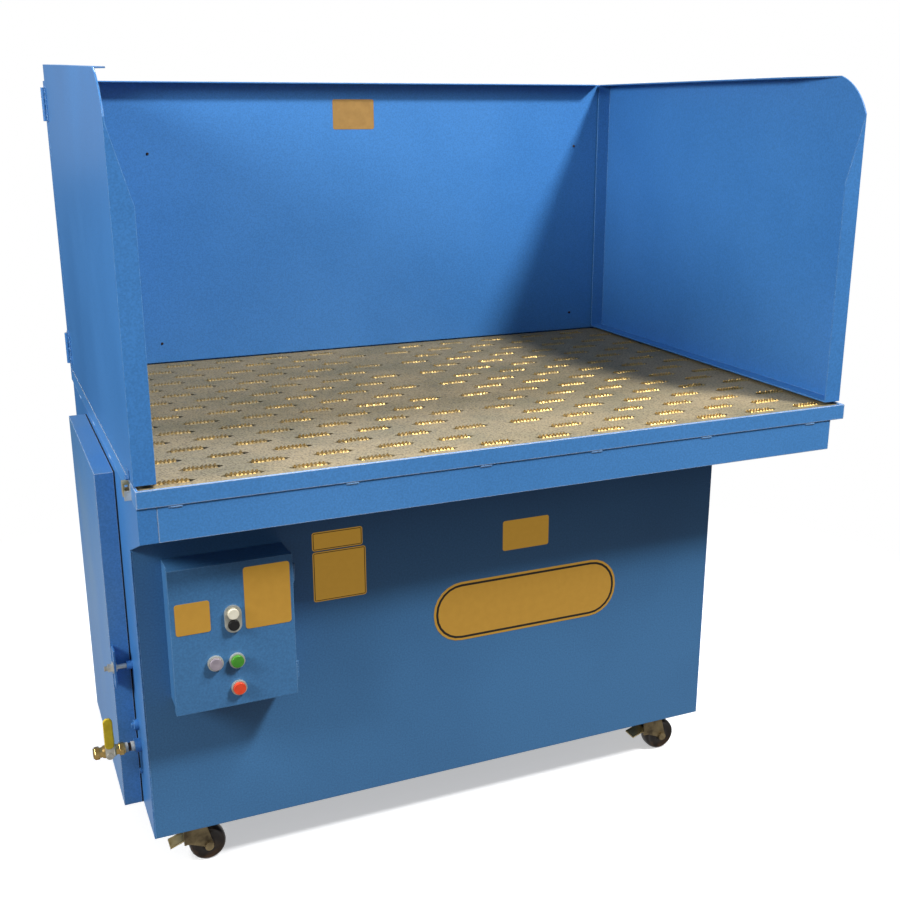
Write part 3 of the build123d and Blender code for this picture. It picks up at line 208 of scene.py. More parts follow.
def worn_teeth(name, gold, dust):
    """Pressed steel teeth, stained golden by hot grit and bare in patches, and furred with dust elsewhere.
    Bare metal also grows towards the front and the right as painted light, where the glints fall. Grit
    clings to some teeth more than to others: that change is a little wider than a tooth."""
    patch_size, tooth_size, grain_size, grain_height = 90 * mm, 11 * mm, 2 * mm, 0.3 * mm
    painted_lit_side, patch_strength, cling_strength, most_metal = (0.75, -0.85, 0), 2.0, 3.8, 0.85
    finish, tree, place = new_finish(name)
    # Spot grows towards the front and the right: painted light, standing in for where the glints fall
    spot = add_node(tree, "VectorMath", {0: place, 1: painted_lit_side}, operation="DOT_PRODUCT")
    patch = add_node(tree, "TexNoise", {"Vector": place, "Scale": 1 / patch_size, "Detail": 4})
    rubbing_and_lit_side = add_node(tree, "Math", {0: patch.outputs["Fac"], 1: patch_strength,
                                      2: spot.outputs["Value"]}, operation="MULTIPLY_ADD")
    cling = add_node(tree, "TexNoise", {"Vector": place, "Scale": 1 / tooth_size, "Detail": 3})
    each_tooth = add_node(tree, "Math", {0: cling.outputs["Fac"], 1: cling_strength,
                                         2: rubbing_and_lit_side.outputs["Value"]}, operation="MULTIPLY_ADD")
    bare = add_node(tree, "MapRange", {"Value": each_tooth.outputs["Value"], "From Min": 2.45,
                                       "From Max": 3.65}).outputs["Result"]
    metal = add_node(tree, "Math", {0: bare, 1: most_metal}, operation="MULTIPLY")
    rough = add_node(tree, "MapRange", {"Value": bare, "To Min": 0.7, "To Max": 0.46})
    grain = add_node(tree, "TexNoise", {"Vector": place, "Scale": 1 / grain_size, "Detail": 3})
    bump = add_node(tree, "Bump", {"Height": grain.outputs["Fac"], "Strength": 0.5,
                                   "Distance": grain_height})
    colour = add_node(tree, "Mix", {"Factor": bare, under: linear(dust), over: linear(gold)},
                      data_type="RGBA")
    shader = add_node(tree, "BsdfPrincipled",
                      {"Base Color": colour.outputs[mixed], "Metallic": metal.outputs["Value"],
                       "Roughness": rough.outputs["Result"], "Normal": bump.outputs["Normal"]})
    return close_finish(finish, shader)


def moulded(name, light, dark, roughness, grain=1.2 * mm, depth=0.05, sheen=0.0, painted_glow="000000"):
    """Moulded plastic or rubber, film or felt: a faint mottle, and a skin as coarse as its grain, which
    is drawn coarser than real so that it shows. A film can be given a painted glow as well, an emission
    that keeps it bright even in the shade."""
    mottle_size, skin_height = 16 * mm, 0.2 * mm
    finish, tree, place = new_finish(name)
    mottle = add_node(tree, "TexNoise", {"Vector": place, "Scale": 1 / mottle_size, "Detail": 4})
    colour = add_node(tree, "ValToRGB", {"Fac": mottle.outputs["Fac"]}, stops=((0.3, dark), (0.65, light)))
    skin = add_node(tree, "TexNoise", {"Vector": place, "Scale": 1 / grain, "Detail": 2})
    bump = add_node(tree, "Bump", {"Height": skin.outputs["Fac"], "Strength": depth,
                                   "Distance": skin_height})
    # The emission is a painted glow: the piece is no lamp
    shader = add_node(tree, "BsdfPrincipled",
                      {"Base Color": colour.outputs["Color"], "Roughness": roughness, "IOR": 1.5,
                       "Sheen Weight": sheen, "Emission Color": linear(painted_glow), "Emission Strength": 1.0,
                       "Normal": bump.outputs["Normal"]})
    return close_finish(finish, shader)


# Enamel as sprayed, on the shields and the cabinet's other sheets: an even blue with thin pale edges, partly
# wear and partly painted highlight
enamel = sprayed_enamel("sprayed_blue_enamel", "4686C9", "4180C2", "8FBBE2")
# Enamel on the rim and its aprons: lighter than the other enamel, as painted light, with wide edges chipped
# nearly white where work leans on them, partly wear and partly a painted highlight along the rim's top
rim_enamel = sprayed_enamel("rim_enamel_worn_and_painted_lit", "5090D2", "4A8ACB", "DDE4EA", 3.0 * mm, 1.0)
# Enamel on the access door: lighter than the other enamel, as painted light, with greyer patches of painted
# reflection, and wide pale edges, partly wear where it is gripped and partly painted highlight
door_enamel = sprayed_enamel("door_enamel_worn_and_painted_lit", "4C8BCB", "6093C4", "C9DAEA", 2.6 * mm, 0.8)
# Enamel on the cabinet's front and the control box: duller and greyer than the rest, as painted shade on the
# front recessed under the rim
front_enamel = sprayed_enamel("front_enamel_painted_shade", "487FB2", "4378AA", "82ACD6", 1.6 * mm, 0.2)
# Enamel on the control box's lid: darker still, as painted shade, and worn a little more round its pale
# edges, which are partly painted highlight
lid_enamel = sprayed_enamel("lid_enamel_painted_shade", "467CAE", "4174A4", "86AED4", 1.6 * mm, 0.3)
# Enamel over a weld's ripples: pale, with nearly white crests, as a painted highlight on the beads
weld_enamel = sprayed_enamel("enamel_over_weld", "86B2E2", "729ED4", "E2EEF8")
# Enamel brushed over hinges, screws and dressed seams: uneven in shade
fittings_enamel = sprayed_enamel("brushed_blue_enamel", "4683C2", "3B72AE", "A9C9E8")
# Galvanised grating under grinding dust: matt grey-tan
dusty_grating = dusty_plate("dusty_galvanised_grating", "9D8C69", "847A5C")
# The walls turned down round the grating's openings, where grit stays: matt golden tan, lighter than the
# plate as painted light in the openings' shade
lit_dusty_wall = dusty_plate("opening_wall_dust_and_painted_light", "BC9C5C", "957A44")
# The teeth on those walls: golden and shining in patches, and more so towards the front and the right as
# painted light
lit_rubbed_teeth = worn_teeth("golden_teeth_rubbed_and_painted_lit", "D3B06A", "8A7C5C")
# Hot-dip galvanised sheet: clouded mid grey with a soft shine
galvanised = worked_metal("galvanised_sheet", "C6C8C6", "8E908E", 0.42, grit=3.0 * mm)
# Bright zinc plate on screws, nuts and the valve's lever: pale, warm and shining
bright_zinc = worked_metal("bright_zinc_plate", "E9E5D8", "BDB6A4", 0.30, metallic=0.75)
# Zinc plate on the latch plates: nearly white and half matt, a painted highlight that keeps them bright in
# their shade
latch_zinc_painted_highlight = worked_metal("zinc_plate_painted_highlight", "F2EFE4", "CFC8B4", 0.45, metallic=0.35)
# Zinc plate under grease and floor dirt, on the casters' yokes: brown with a dull shine
greasy_zinc = worked_metal("greasy_zinc_plate", "A8946C", "64563F", 0.40, metallic=0.6)
# Yellow-passivated zinc plate on the pedals and the latches' levers: straw gold
gold_zinc = worked_metal("yellow_zinc_plate", "E8D5A0", "B79F66", 0.34, metallic=0.7)
# Brass turned from bar, for the valve: warm yellow with bright edges
turned_brass = worked_metal("turned_brass", "E3C07A", "A8813D", 0.27)
# Steel in its black mill skin, for the air pipe and the shield's bolts: brown-black and half matt
black_pipe = worked_metal("black_pipe", "4A3A33", "241B18", 0.50, metallic=0.6)
# Grey machine paint brushed on a cast motor: half matt and clouded
motor_paint = worked_metal("cast_motor_paint", "55606B", "3E4750", 0.50, metallic=0.1)
# Thread tape wound on by hand: white, matt and wrinkled
thread_tape = moulded("white_thread_tape", "F1F0EA", "D8D6CC", 0.55, grain=0.6 * mm, depth=0.3)
# Vinyl that the valve's lever was dipped in: strong smooth yellow
yellow_sleeve = moulded("yellow_vinyl_sleeve", "EACB2C", "D3AD1C", 0.35, depth=0.1)
# Yellow film on the plates in front: a dark amber with a painted glow, so that it stays bright in the rim's
# shade
yellow_film = moulded("yellow_film_painted_glow", "8C692C", "846228", 0.45, grain=4.0 * mm, depth=0.03,
                      painted_glow="88651F")
# Vinyl film on the plate at the back, faded by daylight: dull ochre
faded_film = moulded("faded_vinyl_plate", "A67F42", "9A753B", 0.55, grain=4.0 * mm, depth=0.03)
# Ink printed on the films: flat black
black_ink = moulded("black_printed_film", "1D1913", "14110D", 0.45)
# Moulded caps of the push buttons: smooth, with a soft gloss
cream_cap = moulded("cream_button_cap", "F4EED8", "E6DEC4", 0.30)
black_cap = moulded("black_button_cap", "1C1A19", "121110", 0.30)
green_cap = moulded("green_button_cap", "4C9A2E", "35801F", 0.30)
red_cap = moulded("red_button_cap", "F0502C", "D8401F", 0.30)
# Moulded lens of the grey push button, unlit: warm grey and glossy
grey_lens = moulded("grey_lamp_lens", "A79CA4", "8F858F", 0.25)
# Satin-plated rings round the buttons: pale, half metal to the eye
pale_bezel = worked_metal("satin_bezel_ring", "D6D5C8", "B4B3A6", 0.30, metallic=0.6)
# Moulded grey plastic housings: half matt
grey_housing = moulded("grey_moulded_housing", "7C8084", "686C70", 0.45)
# Moulded phenolic tyre, scuffed by the floor: dark brown with broken highlights
wheel_tyre = moulded("worn_phenolic_tyre", "3E2B18", "21160D", 0.28, grain=3.0 * mm, depth=0.3)
# Extruded foam gasket: black, open-celled and without shine
foam_rubber = moulded("black_foam_gasket", "1B1B1C", "101011", 0.85, grain=1.5 * mm, depth=0.6)
# Needled felt of the filters: off-white and matt, with a pile that softens its outline
filter_felt = moulded("white_filter_felt", "E4E1D6", "C9C3B2", 0.85, grain=2.0 * mm, depth=0.5, sheen=0.3)

slot_finish = {
    "blue_paint": enamel, "painted_hardware": fittings_enamel, "grating_metal": dusty_grating,
    "galvanised": galvanised, "zinc": bright_zinc, "dark_pipe": black_pipe, "brass": turned_brass,
    "yellow_lever": yellow_sleeve, "pedal_metal": gold_zinc, "filter_media": filter_felt,
    "gasket_rubber": foam_rubber, "wheel_rubber": wheel_tyre, "grey_plastic": grey_housing,
    "white_plastic": cream_cap, "green_plastic": green_cap, "red_plastic": red_cap,
    "black_plastic": black_cap,
}
node_finish = {
    "rim_frame": rim_enamel, "hopper_aprons": rim_enamel, "access_door": door_enamel,
    "cabinet_front": front_enamel, "control_box": front_enamel, "control_lid": lid_enamel,
    "shield_hinges_fixed": fittings_enamel, "left_wing_hardware": fittings_enamel,
    "right_wing_hardware": fittings_enamel, "button_white": grey_lens, "button_bezels": pale_bezel,
    "blower_motor": motor_paint, "latch_plates": latch_zinc_painted_highlight, "latch_lever_left": gold_zinc,
    "latch_lever_right": gold_zinc, "valve_handle": bright_zinc,
    **{f"caster_yoke_{corner}": greasy_zinc for corner in caster_corners},
}
for name, part in frame["nodes"].items():
    part.data.materials.clear()
    part.data.materials.append(node_finish.get(name, slot_finish[node_slot[name]]))


# Mesh helpers
def keep(name, mesh, body, finish, smooth=False):
    """Makes a piece from a bmesh, gives it its finish and lets it ride on its body."""
    sharp_angle = math.radians(35)
    data = bpy.data.meshes.new(name)
    bmesh.ops.recalc_face_normals(mesh, faces=mesh.faces)
    mesh.to_mesh(data)
    mesh.free()
    if smooth:
        data.shade_smooth()
        data.set_sharp_from_angle(angle=sharp_angle)
    piece = bpy.data.objects.new(name, data)
    bpy.context.scene.collection.objects.link(piece)
    data.materials.append(finish)
    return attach(piece, body)


def turned(mesh, start, direction, profile, sides=32, closed=False):
    """A lathe form: (distance along, radius) pairs turned round an axis along one of the six directions.
    Closed joins the last pair to the first, as in a ring, and otherwise the ends are capped."""
    along = Vector(direction)
    across = along.orthogonal().normalized()
    other = along.cross(across)
    rings = []
    for distance, radius in profile:
        centre = Vector(start) + along * distance
        rings.append([mesh.verts.new(centre + (across * math.cos(a) + other * math.sin(a)) * radius)
                      for a in (2 * math.pi * i / sides for i in range(sides))])
    pairs = list(zip(rings, rings[1:])) + ([(rings[-1], rings[0])] if closed else [])
    for lower, upper in pairs:
        for i in range(sides):
            j = (i + 1) % sides
            mesh.faces.new([lower[i], lower[j], upper[j], upper[i]])
    if not closed:
        mesh.faces.new(rings[0])
        mesh.faces.new(rings[-1])


def slab(mesh, centre, right, up, outline, depth):
    """An outline in the plane of right and up, two of the six directions, pushed out by depth along
    their cross product."""
    right, up = Vector(right), Vector(up)
    out = right.cross(up)
    low = [mesh.verts.new(Vector(centre) + right * x + up * y) for x, y in outline]
    high = [mesh.verts.new(v.co + out * depth) for v in low]
    mesh.faces.new(low)
    mesh.faces.new(high)
    for i in range(len(low)):
        j = (i + 1) % len(low)
        mesh.faces.new([low[i], low[j], high[j], high[i]])


def rounded(width, height, radius):
    """A rectangle's outline with rounded corners, round its middle."""
    steps, points = 6, []
    for cx, cy, first in ((1, 1, 0), (-1, 1, 90), (-1, -1, 180), (1, -1, 270)):
        for i in range(steps + 1):
            a = math.radians(first + 90 * i / steps)
            points.append((cx * (width / 2 - radius) + radius * math.cos(a),
                           cy * (height / 2 - radius) + radius * math.sin(a)))
    return points


def soften(piece, width, segments=2):
    """Rounds a piece's edges over that width."""
    bevel = piece.modifiers.new("soft_edges", "BEVEL")
    bevel.width = width
    bevel.segments = segments
    bevel.limit_method = "ANGLE"


def pan_head(mesh, place, direction, radius):
    """A domed screw head with a six-sided socket, its forms in shares of its radius and height."""
    height, socket_lip = 0.62 * radius, 0.02 * mm
    turned(mesh, place, direction,
           [(0, radius), (0.35 * height, radius), (0.72 * height, 0.86 * radius),
            (height, 0.55 * radius), (height, 0.42 * radius)], sides=20)
    turned(mesh, Vector(place) + Vector(direction) * (height + socket_lip), direction,
           [(-0.5 * height, 0.40 * radius), (0, 0.40 * radius), (-0.4 * height, 0.36 * radius)], sides=6)


def hex_head(mesh, place, direction, radius):
    """A bolt's six-sided head with its corners turned off, on a washer, in shares of its radius."""
    washer, washer_radius = 0.18 * radius, 1.45 * radius
    turned(mesh, place, direction,
           [(0, washer_radius), (0.8 * washer, washer_radius), (washer, 1.38 * radius)], sides=28)
    turned(mesh, place, direction,
           [(washer, radius), (washer + 0.55 * radius, radius), (washer + 0.68 * radius, 0.84 * radius)],
           sides=6)


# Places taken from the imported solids
rim_low_corner, rim_high_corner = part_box("rim_frame")
left, front, rim_low = rim_low_corner
right, back, rim_top = rim_high_corner
cabinet_low, cabinet_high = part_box("cabinet_front")
cabinet_face = cabinet_low.y
shield_lip = 36 * mm
back_low, back_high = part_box("back_shield")
back_face = back_low.y + shield_lip
lid_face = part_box("control_lid")[0].y
pan_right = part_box("hopper_ends")[1].x
side_faces = {"left": (left, -1), "right": (right, 1)}

# Grating lips
# The long edges of every opening are turned down into a dusty wall and pressed up into teeth, whose
# outer faces lean towards the opening and catch the light. No two teeth are quite alike: a noise shifts
# each tip along its tooth, and changes its height and its lean.
opening_half, opening_side, teeth = 31 * mm, 8 * mm, 8
wall_drop, wall_depth, wall_gap, wall_thick = 1.0 * mm, 12 * mm, 0.2 * mm, 1.2 * mm
tooth_rise, tooth_root, tooth_foot, tooth_lean = 3.4 * mm, 1.6 * mm, 3.0 * mm, 0.4 * mm
tooth_share, tip_shares, tip_shift_share = 0.84, (0.24, 0.56), 0.26
rise_share, rise_change_share, lean_change = 0.86, 0.5, 0.3 * mm
tooth_noise_scale = 900


def toothed_edge(walls, tops, x, y, top, inward):
    """One long edge of an opening: a dusty wall hanging down and a bright row of teeth on it."""
    step = 2 * opening_half / teeth
    for i in range(teeth):
        start = x - opening_half + i * step
        ends = (start, start + tooth_share * step)
        uneven = noise.noise((start * tooth_noise_scale, y * tooth_noise_scale, 0))
        tip_y = y + inward * (tooth_lean + lean_change * uneven)
        tip_z = top + tooth_rise * (rise_share + rise_change_share * uneven)
        outer = [tops.verts.new((end, y - inward * tooth_root, top)) for end in ends]
        inner = [tops.verts.new((end, y + inward * tooth_lean, top - tooth_foot)) for end in ends]
        tip = [tops.verts.new((start + (share + tip_shift_share * uneven) * step, tip_y, tip_z))
               for share in tip_shares]
        tops.faces.new([outer[0], outer[1], tip[1], tip[0]])
        tops.faces.new([inner[0], inner[1], tip[1], tip[0]])
        tops.faces.new([outer[0], tip[0], inner[0]])
        tops.faces.new([outer[1], tip[1], inner[1]])
        tops.faces.new([outer[0], outer[1], inner[1], inner[0]])
    wall_y = y + (wall_gap + wall_thick if inward > 0 else -wall_gap)
    wall_outline = [(-opening_half, -wall_depth), (opening_half, -wall_depth), (opening_half, 0),
                    (-opening_half, 0)]
    slab(walls, (x, wall_y, top - wall_drop), rightward, upward, wall_outline, wall_thick)


def grating_lips(node):
    """Lips for one grating's openings, in rows of six and of five by turns."""
    columns, rows, first_inset, last_inset = 6, 16, 34 * mm, 48 * mm
    low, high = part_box(node)
    pitch = (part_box("grating_right")[1].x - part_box("grating_left")[0].x) / (2 * columns)
    start = low.x if node == "grating_left" else high.x - columns * pitch
    first = low.y + first_inset
    row_pitch = (high.y - last_inset - first) / (rows - 1)
    walls, tops = bmesh.new(), bmesh.new()
    for row in range(rows):
        shift = row % 2
        for column in range(columns - shift):
            x = start + (column + 0.5 + shift / 2) * pitch
            for edge in (-1, 1):
                toothed_edge(walls, tops, x, first + row * row_pitch + edge * opening_side, high.z, -edge)
    keep(f"{node}_walls", walls, "cabinet", lit_dusty_wall)
    keep(f"{node}_teeth", tops, "cabinet", lit_rubbed_teeth)


grating_lips("grating_left")
grating_lips("grating_right")

# Dust packed into the seam between the gratings
seam_left, seam_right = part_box("grating_left")[1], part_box("grating_right")[0]
dust_drop, dust_depth, dust_gap, dust_corner = 1.6 * mm, 1.5 * mm, 0.02 * mm, 0.1 * mm
dust_place = ((seam_left.x + seam_right.x) / 2, (seam_left.y + seam_right.y) / 2,
              seam_left.z - dust_drop)
dust_outline = rounded(seam_right.x - seam_left.x - dust_gap, seam_left.y - seam_right.y, dust_corner)
packed_dust = bmesh.new()
slab(packed_dust, dust_place, rightward, backward, dust_outline, dust_depth)
keep("grating_seam_dust", packed_dust, "cabinet", dusty_grating)


# Welds
def weld_bead(mesh, start, end, radius, ripple=3.2 * mm):
    """A bead of overlapping puddles between two points, its ends rounded off."""
    sides, least_steps, steps_each_ripple = 10, 6, 4
    ripple_share, wander_share, wander_scale, least_end = 0.12, 0.12, 40, 0.02
    start, end = Vector(start), Vector(end)
    along = (end - start).normalized()
    across = along.orthogonal().normalized()
    other = along.cross(across)
    length = (end - start).length
    steps = max(least_steps, int(length / (ripple / steps_each_ripple)))
    rings = []
    for i in range(steps + 1):
        t = i / steps
        to_end = min(t, 1 - t) * length
        ease = 1 if to_end > radius else math.sqrt(max(least_end, 1 - (1 - to_end / radius) ** 2))
        wave = 1 - ripple_share + ripple_share * abs(math.sin(math.pi * t * length / ripple))
        wander = noise.noise(start + along * t * length * wander_scale) * radius * wander_share
        centre = start + along * t * length + across * wander
        reach = radius * ease * wave
        rings.append([mesh.verts.new(centre + (across * math.cos(a) + other * math.sin(a)) * reach)
                      for a in (2 * math.pi * k / sides for k in range(sides))])
    for lower, upper in zip(rings, rings[1:]):
        for k in range(sides):
            j = (k + 1) % sides
            mesh.faces.new([lower[k], lower[j], upper[j], upper[k]])
    mesh.faces.new(rings[0])
    mesh.faces.new(rings[-1])


# Stitches in the corner under the rim's front, seams up the rim's corners, and stitches under the rim
# along the left side and along the hopper's right end; offsets in millimetres from the rim's ends
stitch_length, stitch_radius, stitch_ripple = 28 * mm, 4.2 * mm, 4.5 * mm
stitch_y, stitch_z = front + 4.4 * mm, rim_low - 2.4 * mm
corner_radius, corner_inset, corner_margin = 1.4 * mm, 1.6 * mm, 1 * mm
side_length, side_radius, side_inset = 30 * mm, 2.4 * mm, 0.8 * mm
welds = bmesh.new()
for offset in (52, 374, 644, 888, 1151, 1420):
    x = left + offset * mm
    weld_bead(welds, (x, stitch_y, stitch_z), (x + stitch_length, stitch_y, stitch_z),
              stitch_radius, stitch_ripple)
for x in (left + corner_radius, right - corner_radius):
    for y in (front + corner_inset, back - corner_inset):
        weld_bead(welds, (x, y, rim_low + corner_margin), (x, y, rim_top - corner_margin), corner_radius)
for x, offsets in ((left + side_inset, (60, 330, 600, 870)), (pan_right, (300, 640))):
    for offset in offsets:
        y = front + offset * mm
        weld_bead(welds, (x, y, rim_low), (x, y + side_length, rim_low), side_radius)
keep("rim_stitch_welds", welds, "cabinet", weld_enamel, smooth=True)

# Cabinet seams, welded where the sheets meet on the outside corners and dressed to a soft round
seam_inset, seam_radius, seam_ripple = 1.2 * mm, 1.7 * mm, 9 * mm
seam_y, seam_foot, seam_head = cabinet_face + seam_inset, cabinet_low.z + 2 * mm, cabinet_high.z - 62 * mm
seams = bmesh.new()
for x in (left + seam_inset, cabinet_high.x - seam_inset):
    weld_bead(seams, (x, seam_y, seam_foot), (x, seam_y, seam_head), seam_radius, seam_ripple)
keep("cabinet_corner_seams", seams, "cabinet", fittings_enamel, smooth=True)


# Bare plates
def bare_plate(name, body, face, x0, x1, z0, z1, corner, border=None, film=yellow_film):
    """A thin vinyl plate on a face that looks to the front, with rounded corners, left bare; millimetres
    from the rim's left end and from its top. A printed border is given by how far it lies from the
    plate's edge and how wide it is."""
    film_depth, ink_depth, least_corner, least_inner = 0.5 * mm, 0.12 * mm, 1 * mm, 0.5 * mm
    centre = Vector((left + (x0 + x1) / 2 * mm, face, rim_top + (z0 + z1) / 2 * mm))
    width, height, corner = (x1 - x0) * mm, (z1 - z0) * mm, corner * mm
    plate = bmesh.new()
    slab(plate, centre, rightward, upward, rounded(width, height, corner), film_depth)
    keep(name, plate, body, film)
    if border:
        inset, wide = border
        both = inset + wide
        outer = rounded(width - 2 * inset, height - 2 * inset, max(corner - inset, least_corner))
        inner = rounded(width - 2 * both, height - 2 * both, max(corner - both, least_inner))
        printed = centre + Vector(frontward) * film_depth
        ring = bmesh.new()
        loops = [[ring.verts.new(printed + Vector((x, -lift, z))) for x, z in points]
                 for points, lift in ((outer, 0), (outer, ink_depth), (inner, ink_depth), (inner, 0))]
        for lower, upper in zip(loops, loops[1:]):
            for i in range(len(lower)):
                j = (i + 1) % len(lower)
                ring.faces.new([lower[i], lower[j], upper[j], upper[i]])
        keep(f"{name}_border", ring, body, black_ink)


thin_edge, broad_edge = (2 * mm, 1.4 * mm), (5 * mm, 5 * mm)
bare_plate("back_plate", "cabinet", back_face, 701, 813, 575, 650, 5, film=faded_film)
bare_plate("upper_front_plate", "cabinet", cabinet_face, 347, 452, -215, -176, 5, thin_edge)
bare_plate("lower_front_plate", "cabinet", cabinet_face, 347, 458, -324, -218, 5, thin_edge)
bare_plate("middle_front_plate", "cabinet", cabinet_face, 765, 874, -279, -212, 5)
bare_plate("maker_place_plate", "cabinet", cabinet_face, 606, 1046, -468, -334, 64, broad_edge)
bare_plate("lid_right_plate", "control_lid", lid_face, 191, 280, -320, -195, 6)
bare_plate("lid_left_plate", "control_lid", lid_face, 60, 125, -312, -249, 5)


# Air line: thread tape at both ends of the nipple, hexagons on the valve, and the dipped lever
valve_low, valve_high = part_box("valve_body")
pipe_low, pipe_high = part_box("air_pipe")
pipe_y, pipe_z = (pipe_low.y + pipe_high.y) / 2, (pipe_low.z + pipe_high.z) / 2
coupling_end = left - 13 * mm


def tape_wrap(mesh, x0, x1):
    """Thread tape wound round the pipe, which swells and sinks with each turn."""
    turns, radius, swell, sunk_end = 5, 9.8 * mm, 0.35 * mm, 1.2 * mm
    profile = [(0, radius - sunk_end)]
    for i in range(turns * 4 + 1):
        t = i / (turns * 4)
        profile.append((t * (x1 - x0), radius + swell * math.sin(2 * math.pi * t * turns)))
    profile.append((x1 - x0, radius - sunk_end))
    turned(mesh, (x0, pipe_y, pipe_z), rightward, profile)


tape_gap, valve_tape, coupling_tape = 0.3 * mm, 6 * mm, 7 * mm
tape = bmesh.new()
tape_wrap(tape, valve_high.x + tape_gap, valve_high.x + valve_tape)
tape_wrap(tape, coupling_end - coupling_tape, coupling_end - tape_gap)
keep("pipe_thread_tape", tape, "cabinet", thread_tape, smooth=True)

hex_radius, hex_length, hex_inset, hex_chamfer = 13.6 * mm, 10 * mm, 2 * mm, 1 * mm
hex_edge, sleeve_edge, flange_edge = 0.3 * mm, 1.6 * mm, 0.4 * mm
hex_profile = [(0, hex_radius - hex_chamfer), (hex_chamfer, hex_radius),
               (hex_length - hex_chamfer, hex_radius), (hex_length, hex_radius - hex_chamfer)]
hexes = bmesh.new()
for start in (valve_high.x - hex_inset - hex_length, valve_low.x + hex_inset):
    turned(hexes, (start, pipe_y, pipe_z), rightward, hex_profile, sides=6)
soften(keep("valve_end_hexes", hexes, "cabinet", turned_brass), hex_edge)

lever_low, lever_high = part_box("valve_handle")
lever_x, lever_y = (lever_low.x + lever_high.x) / 2, lever_low.y + 3.5 * mm
sleeve_width, sleeve_length, sleeve_corner, sleeve_thick = 18.4 * mm, 67 * mm, 8.6 * mm, 6.8 * mm
sleeve_z = (lever_high.z + lever_low.z) / 2 + 12.6 * mm
sleeve = bmesh.new()
slab(sleeve, (lever_x, lever_y + sleeve_thick / 2, sleeve_z), rightward, upward,
     rounded(sleeve_width, sleeve_length, sleeve_corner), sleeve_thick)
soften(keep("valve_lever_sleeve", sleeve, "valve_handle", yellow_sleeve), sleeve_edge, 3)

flange_thick, flange_bite = 1.8 * mm, 0.2 * mm
flange_y, flange_z = lever_y - 1 * mm, lever_low.z + 32 * mm
flange_outline = [(y * mm, z * mm) for y, z in ((-1, -24), (7, -24), (7, 10), (3, 22), (-1, 22))]
flange = bmesh.new()
slab(flange, (lever_high.x - flange_bite, flange_y, flange_z), backward, upward, flange_outline,
     flange_thick)
soften(keep("valve_lever_flange", flange, "valve_handle", cream_cap), flange_edge)


# Hinge screws, three to a leaf, on the shields' and the door's hinges
screw_radius, screw_pitch, leaf_wall = 3.6 * mm, 26 * mm, 2.5 * mm
screw_rises = (-screw_pitch, 0, screw_pitch)
pin_y, screw_offset = back_face - 1.5 * mm, 18 * mm
hinge_middles = (rim_top + 57 * mm, back_high.z - 53 * mm)
fixed_screws = bmesh.new()
moving_screws = {"left": bmesh.new(), "right": bmesh.new()}
for side, (face, way) in side_faces.items():
    out, x = (way, 0, 0), face + way * leaf_wall
    for middle in hinge_middles:
        for rise in screw_rises:
            pan_head(fixed_screws, (x, pin_y + screw_offset, middle + rise), out, screw_radius)
            pan_head(moving_screws[side], (x, pin_y - screw_offset, middle + rise), out, screw_radius)
keep("shield_hinge_screws", fixed_screws, "cabinet", fittings_enamel, smooth=True)
for side, mesh in moving_screws.items():
    keep(f"{side}_wing_hinge_screws", mesh, f"{side}_wing", fittings_enamel,
         smooth=True)

hinge_low, hinge_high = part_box("door_hinges_fixed")
half_leaf, door_screw_inset = 38 * mm, 11 * mm
screws = bmesh.new()
for middle in (hinge_low.z + half_leaf, hinge_high.z - half_leaf):
    for rise in screw_rises:
        pan_head(screws, (left - leaf_wall, hinge_high.y - door_screw_inset, middle + rise), leftward,
                 screw_radius)
keep("door_hinge_screws", screws, "cabinet", bright_zinc, smooth=True)

# Bolts through the back shield
# Dark heads in front and nuts behind; places in millimetres from the rim's left end and from its top
bolt_places = ((224, 521), (226, 49), (1412, 524), (1412, 49))
bolt_radius, nut_radius, shield_sheet = 3.4 * mm, 6 * mm, 3 * mm
bolts, nuts = bmesh.new(), bmesh.new()
for x, z in bolt_places:
    spot = Vector((left + x * mm, back_face, rim_top + z * mm))
    pan_head(bolts, spot, frontward, bolt_radius)
    hex_head(nuts, spot + Vector(backward) * shield_sheet, backward, nut_radius)
keep("back_shield_bolts", bolts, "cabinet", black_pipe, smooth=True)
keep("back_shield_nuts", nuts, "cabinet", bright_zinc)

# Latch rivets, two to a plate
rivet_radius, rivet_spread, rivet_drop, latch_plate_wall = 2.2 * mm, 6.5 * mm, 7 * mm, 2 * mm
for side, (face, way) in side_faces.items():
    latch_low, latch_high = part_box(f"latch_lever_{side}")
    middle_y = (latch_low.y + latch_high.y) / 2
    rivets = bmesh.new()
    for y in (middle_y - rivet_spread, middle_y + rivet_spread):
        pan_head(rivets, (face + way * latch_plate_wall, y, rim_top - rivet_drop), (way, 0, 0), rivet_radius)
    keep(f"{side}_latch_rivets", rivets, "cabinet", bright_zinc, smooth=True)


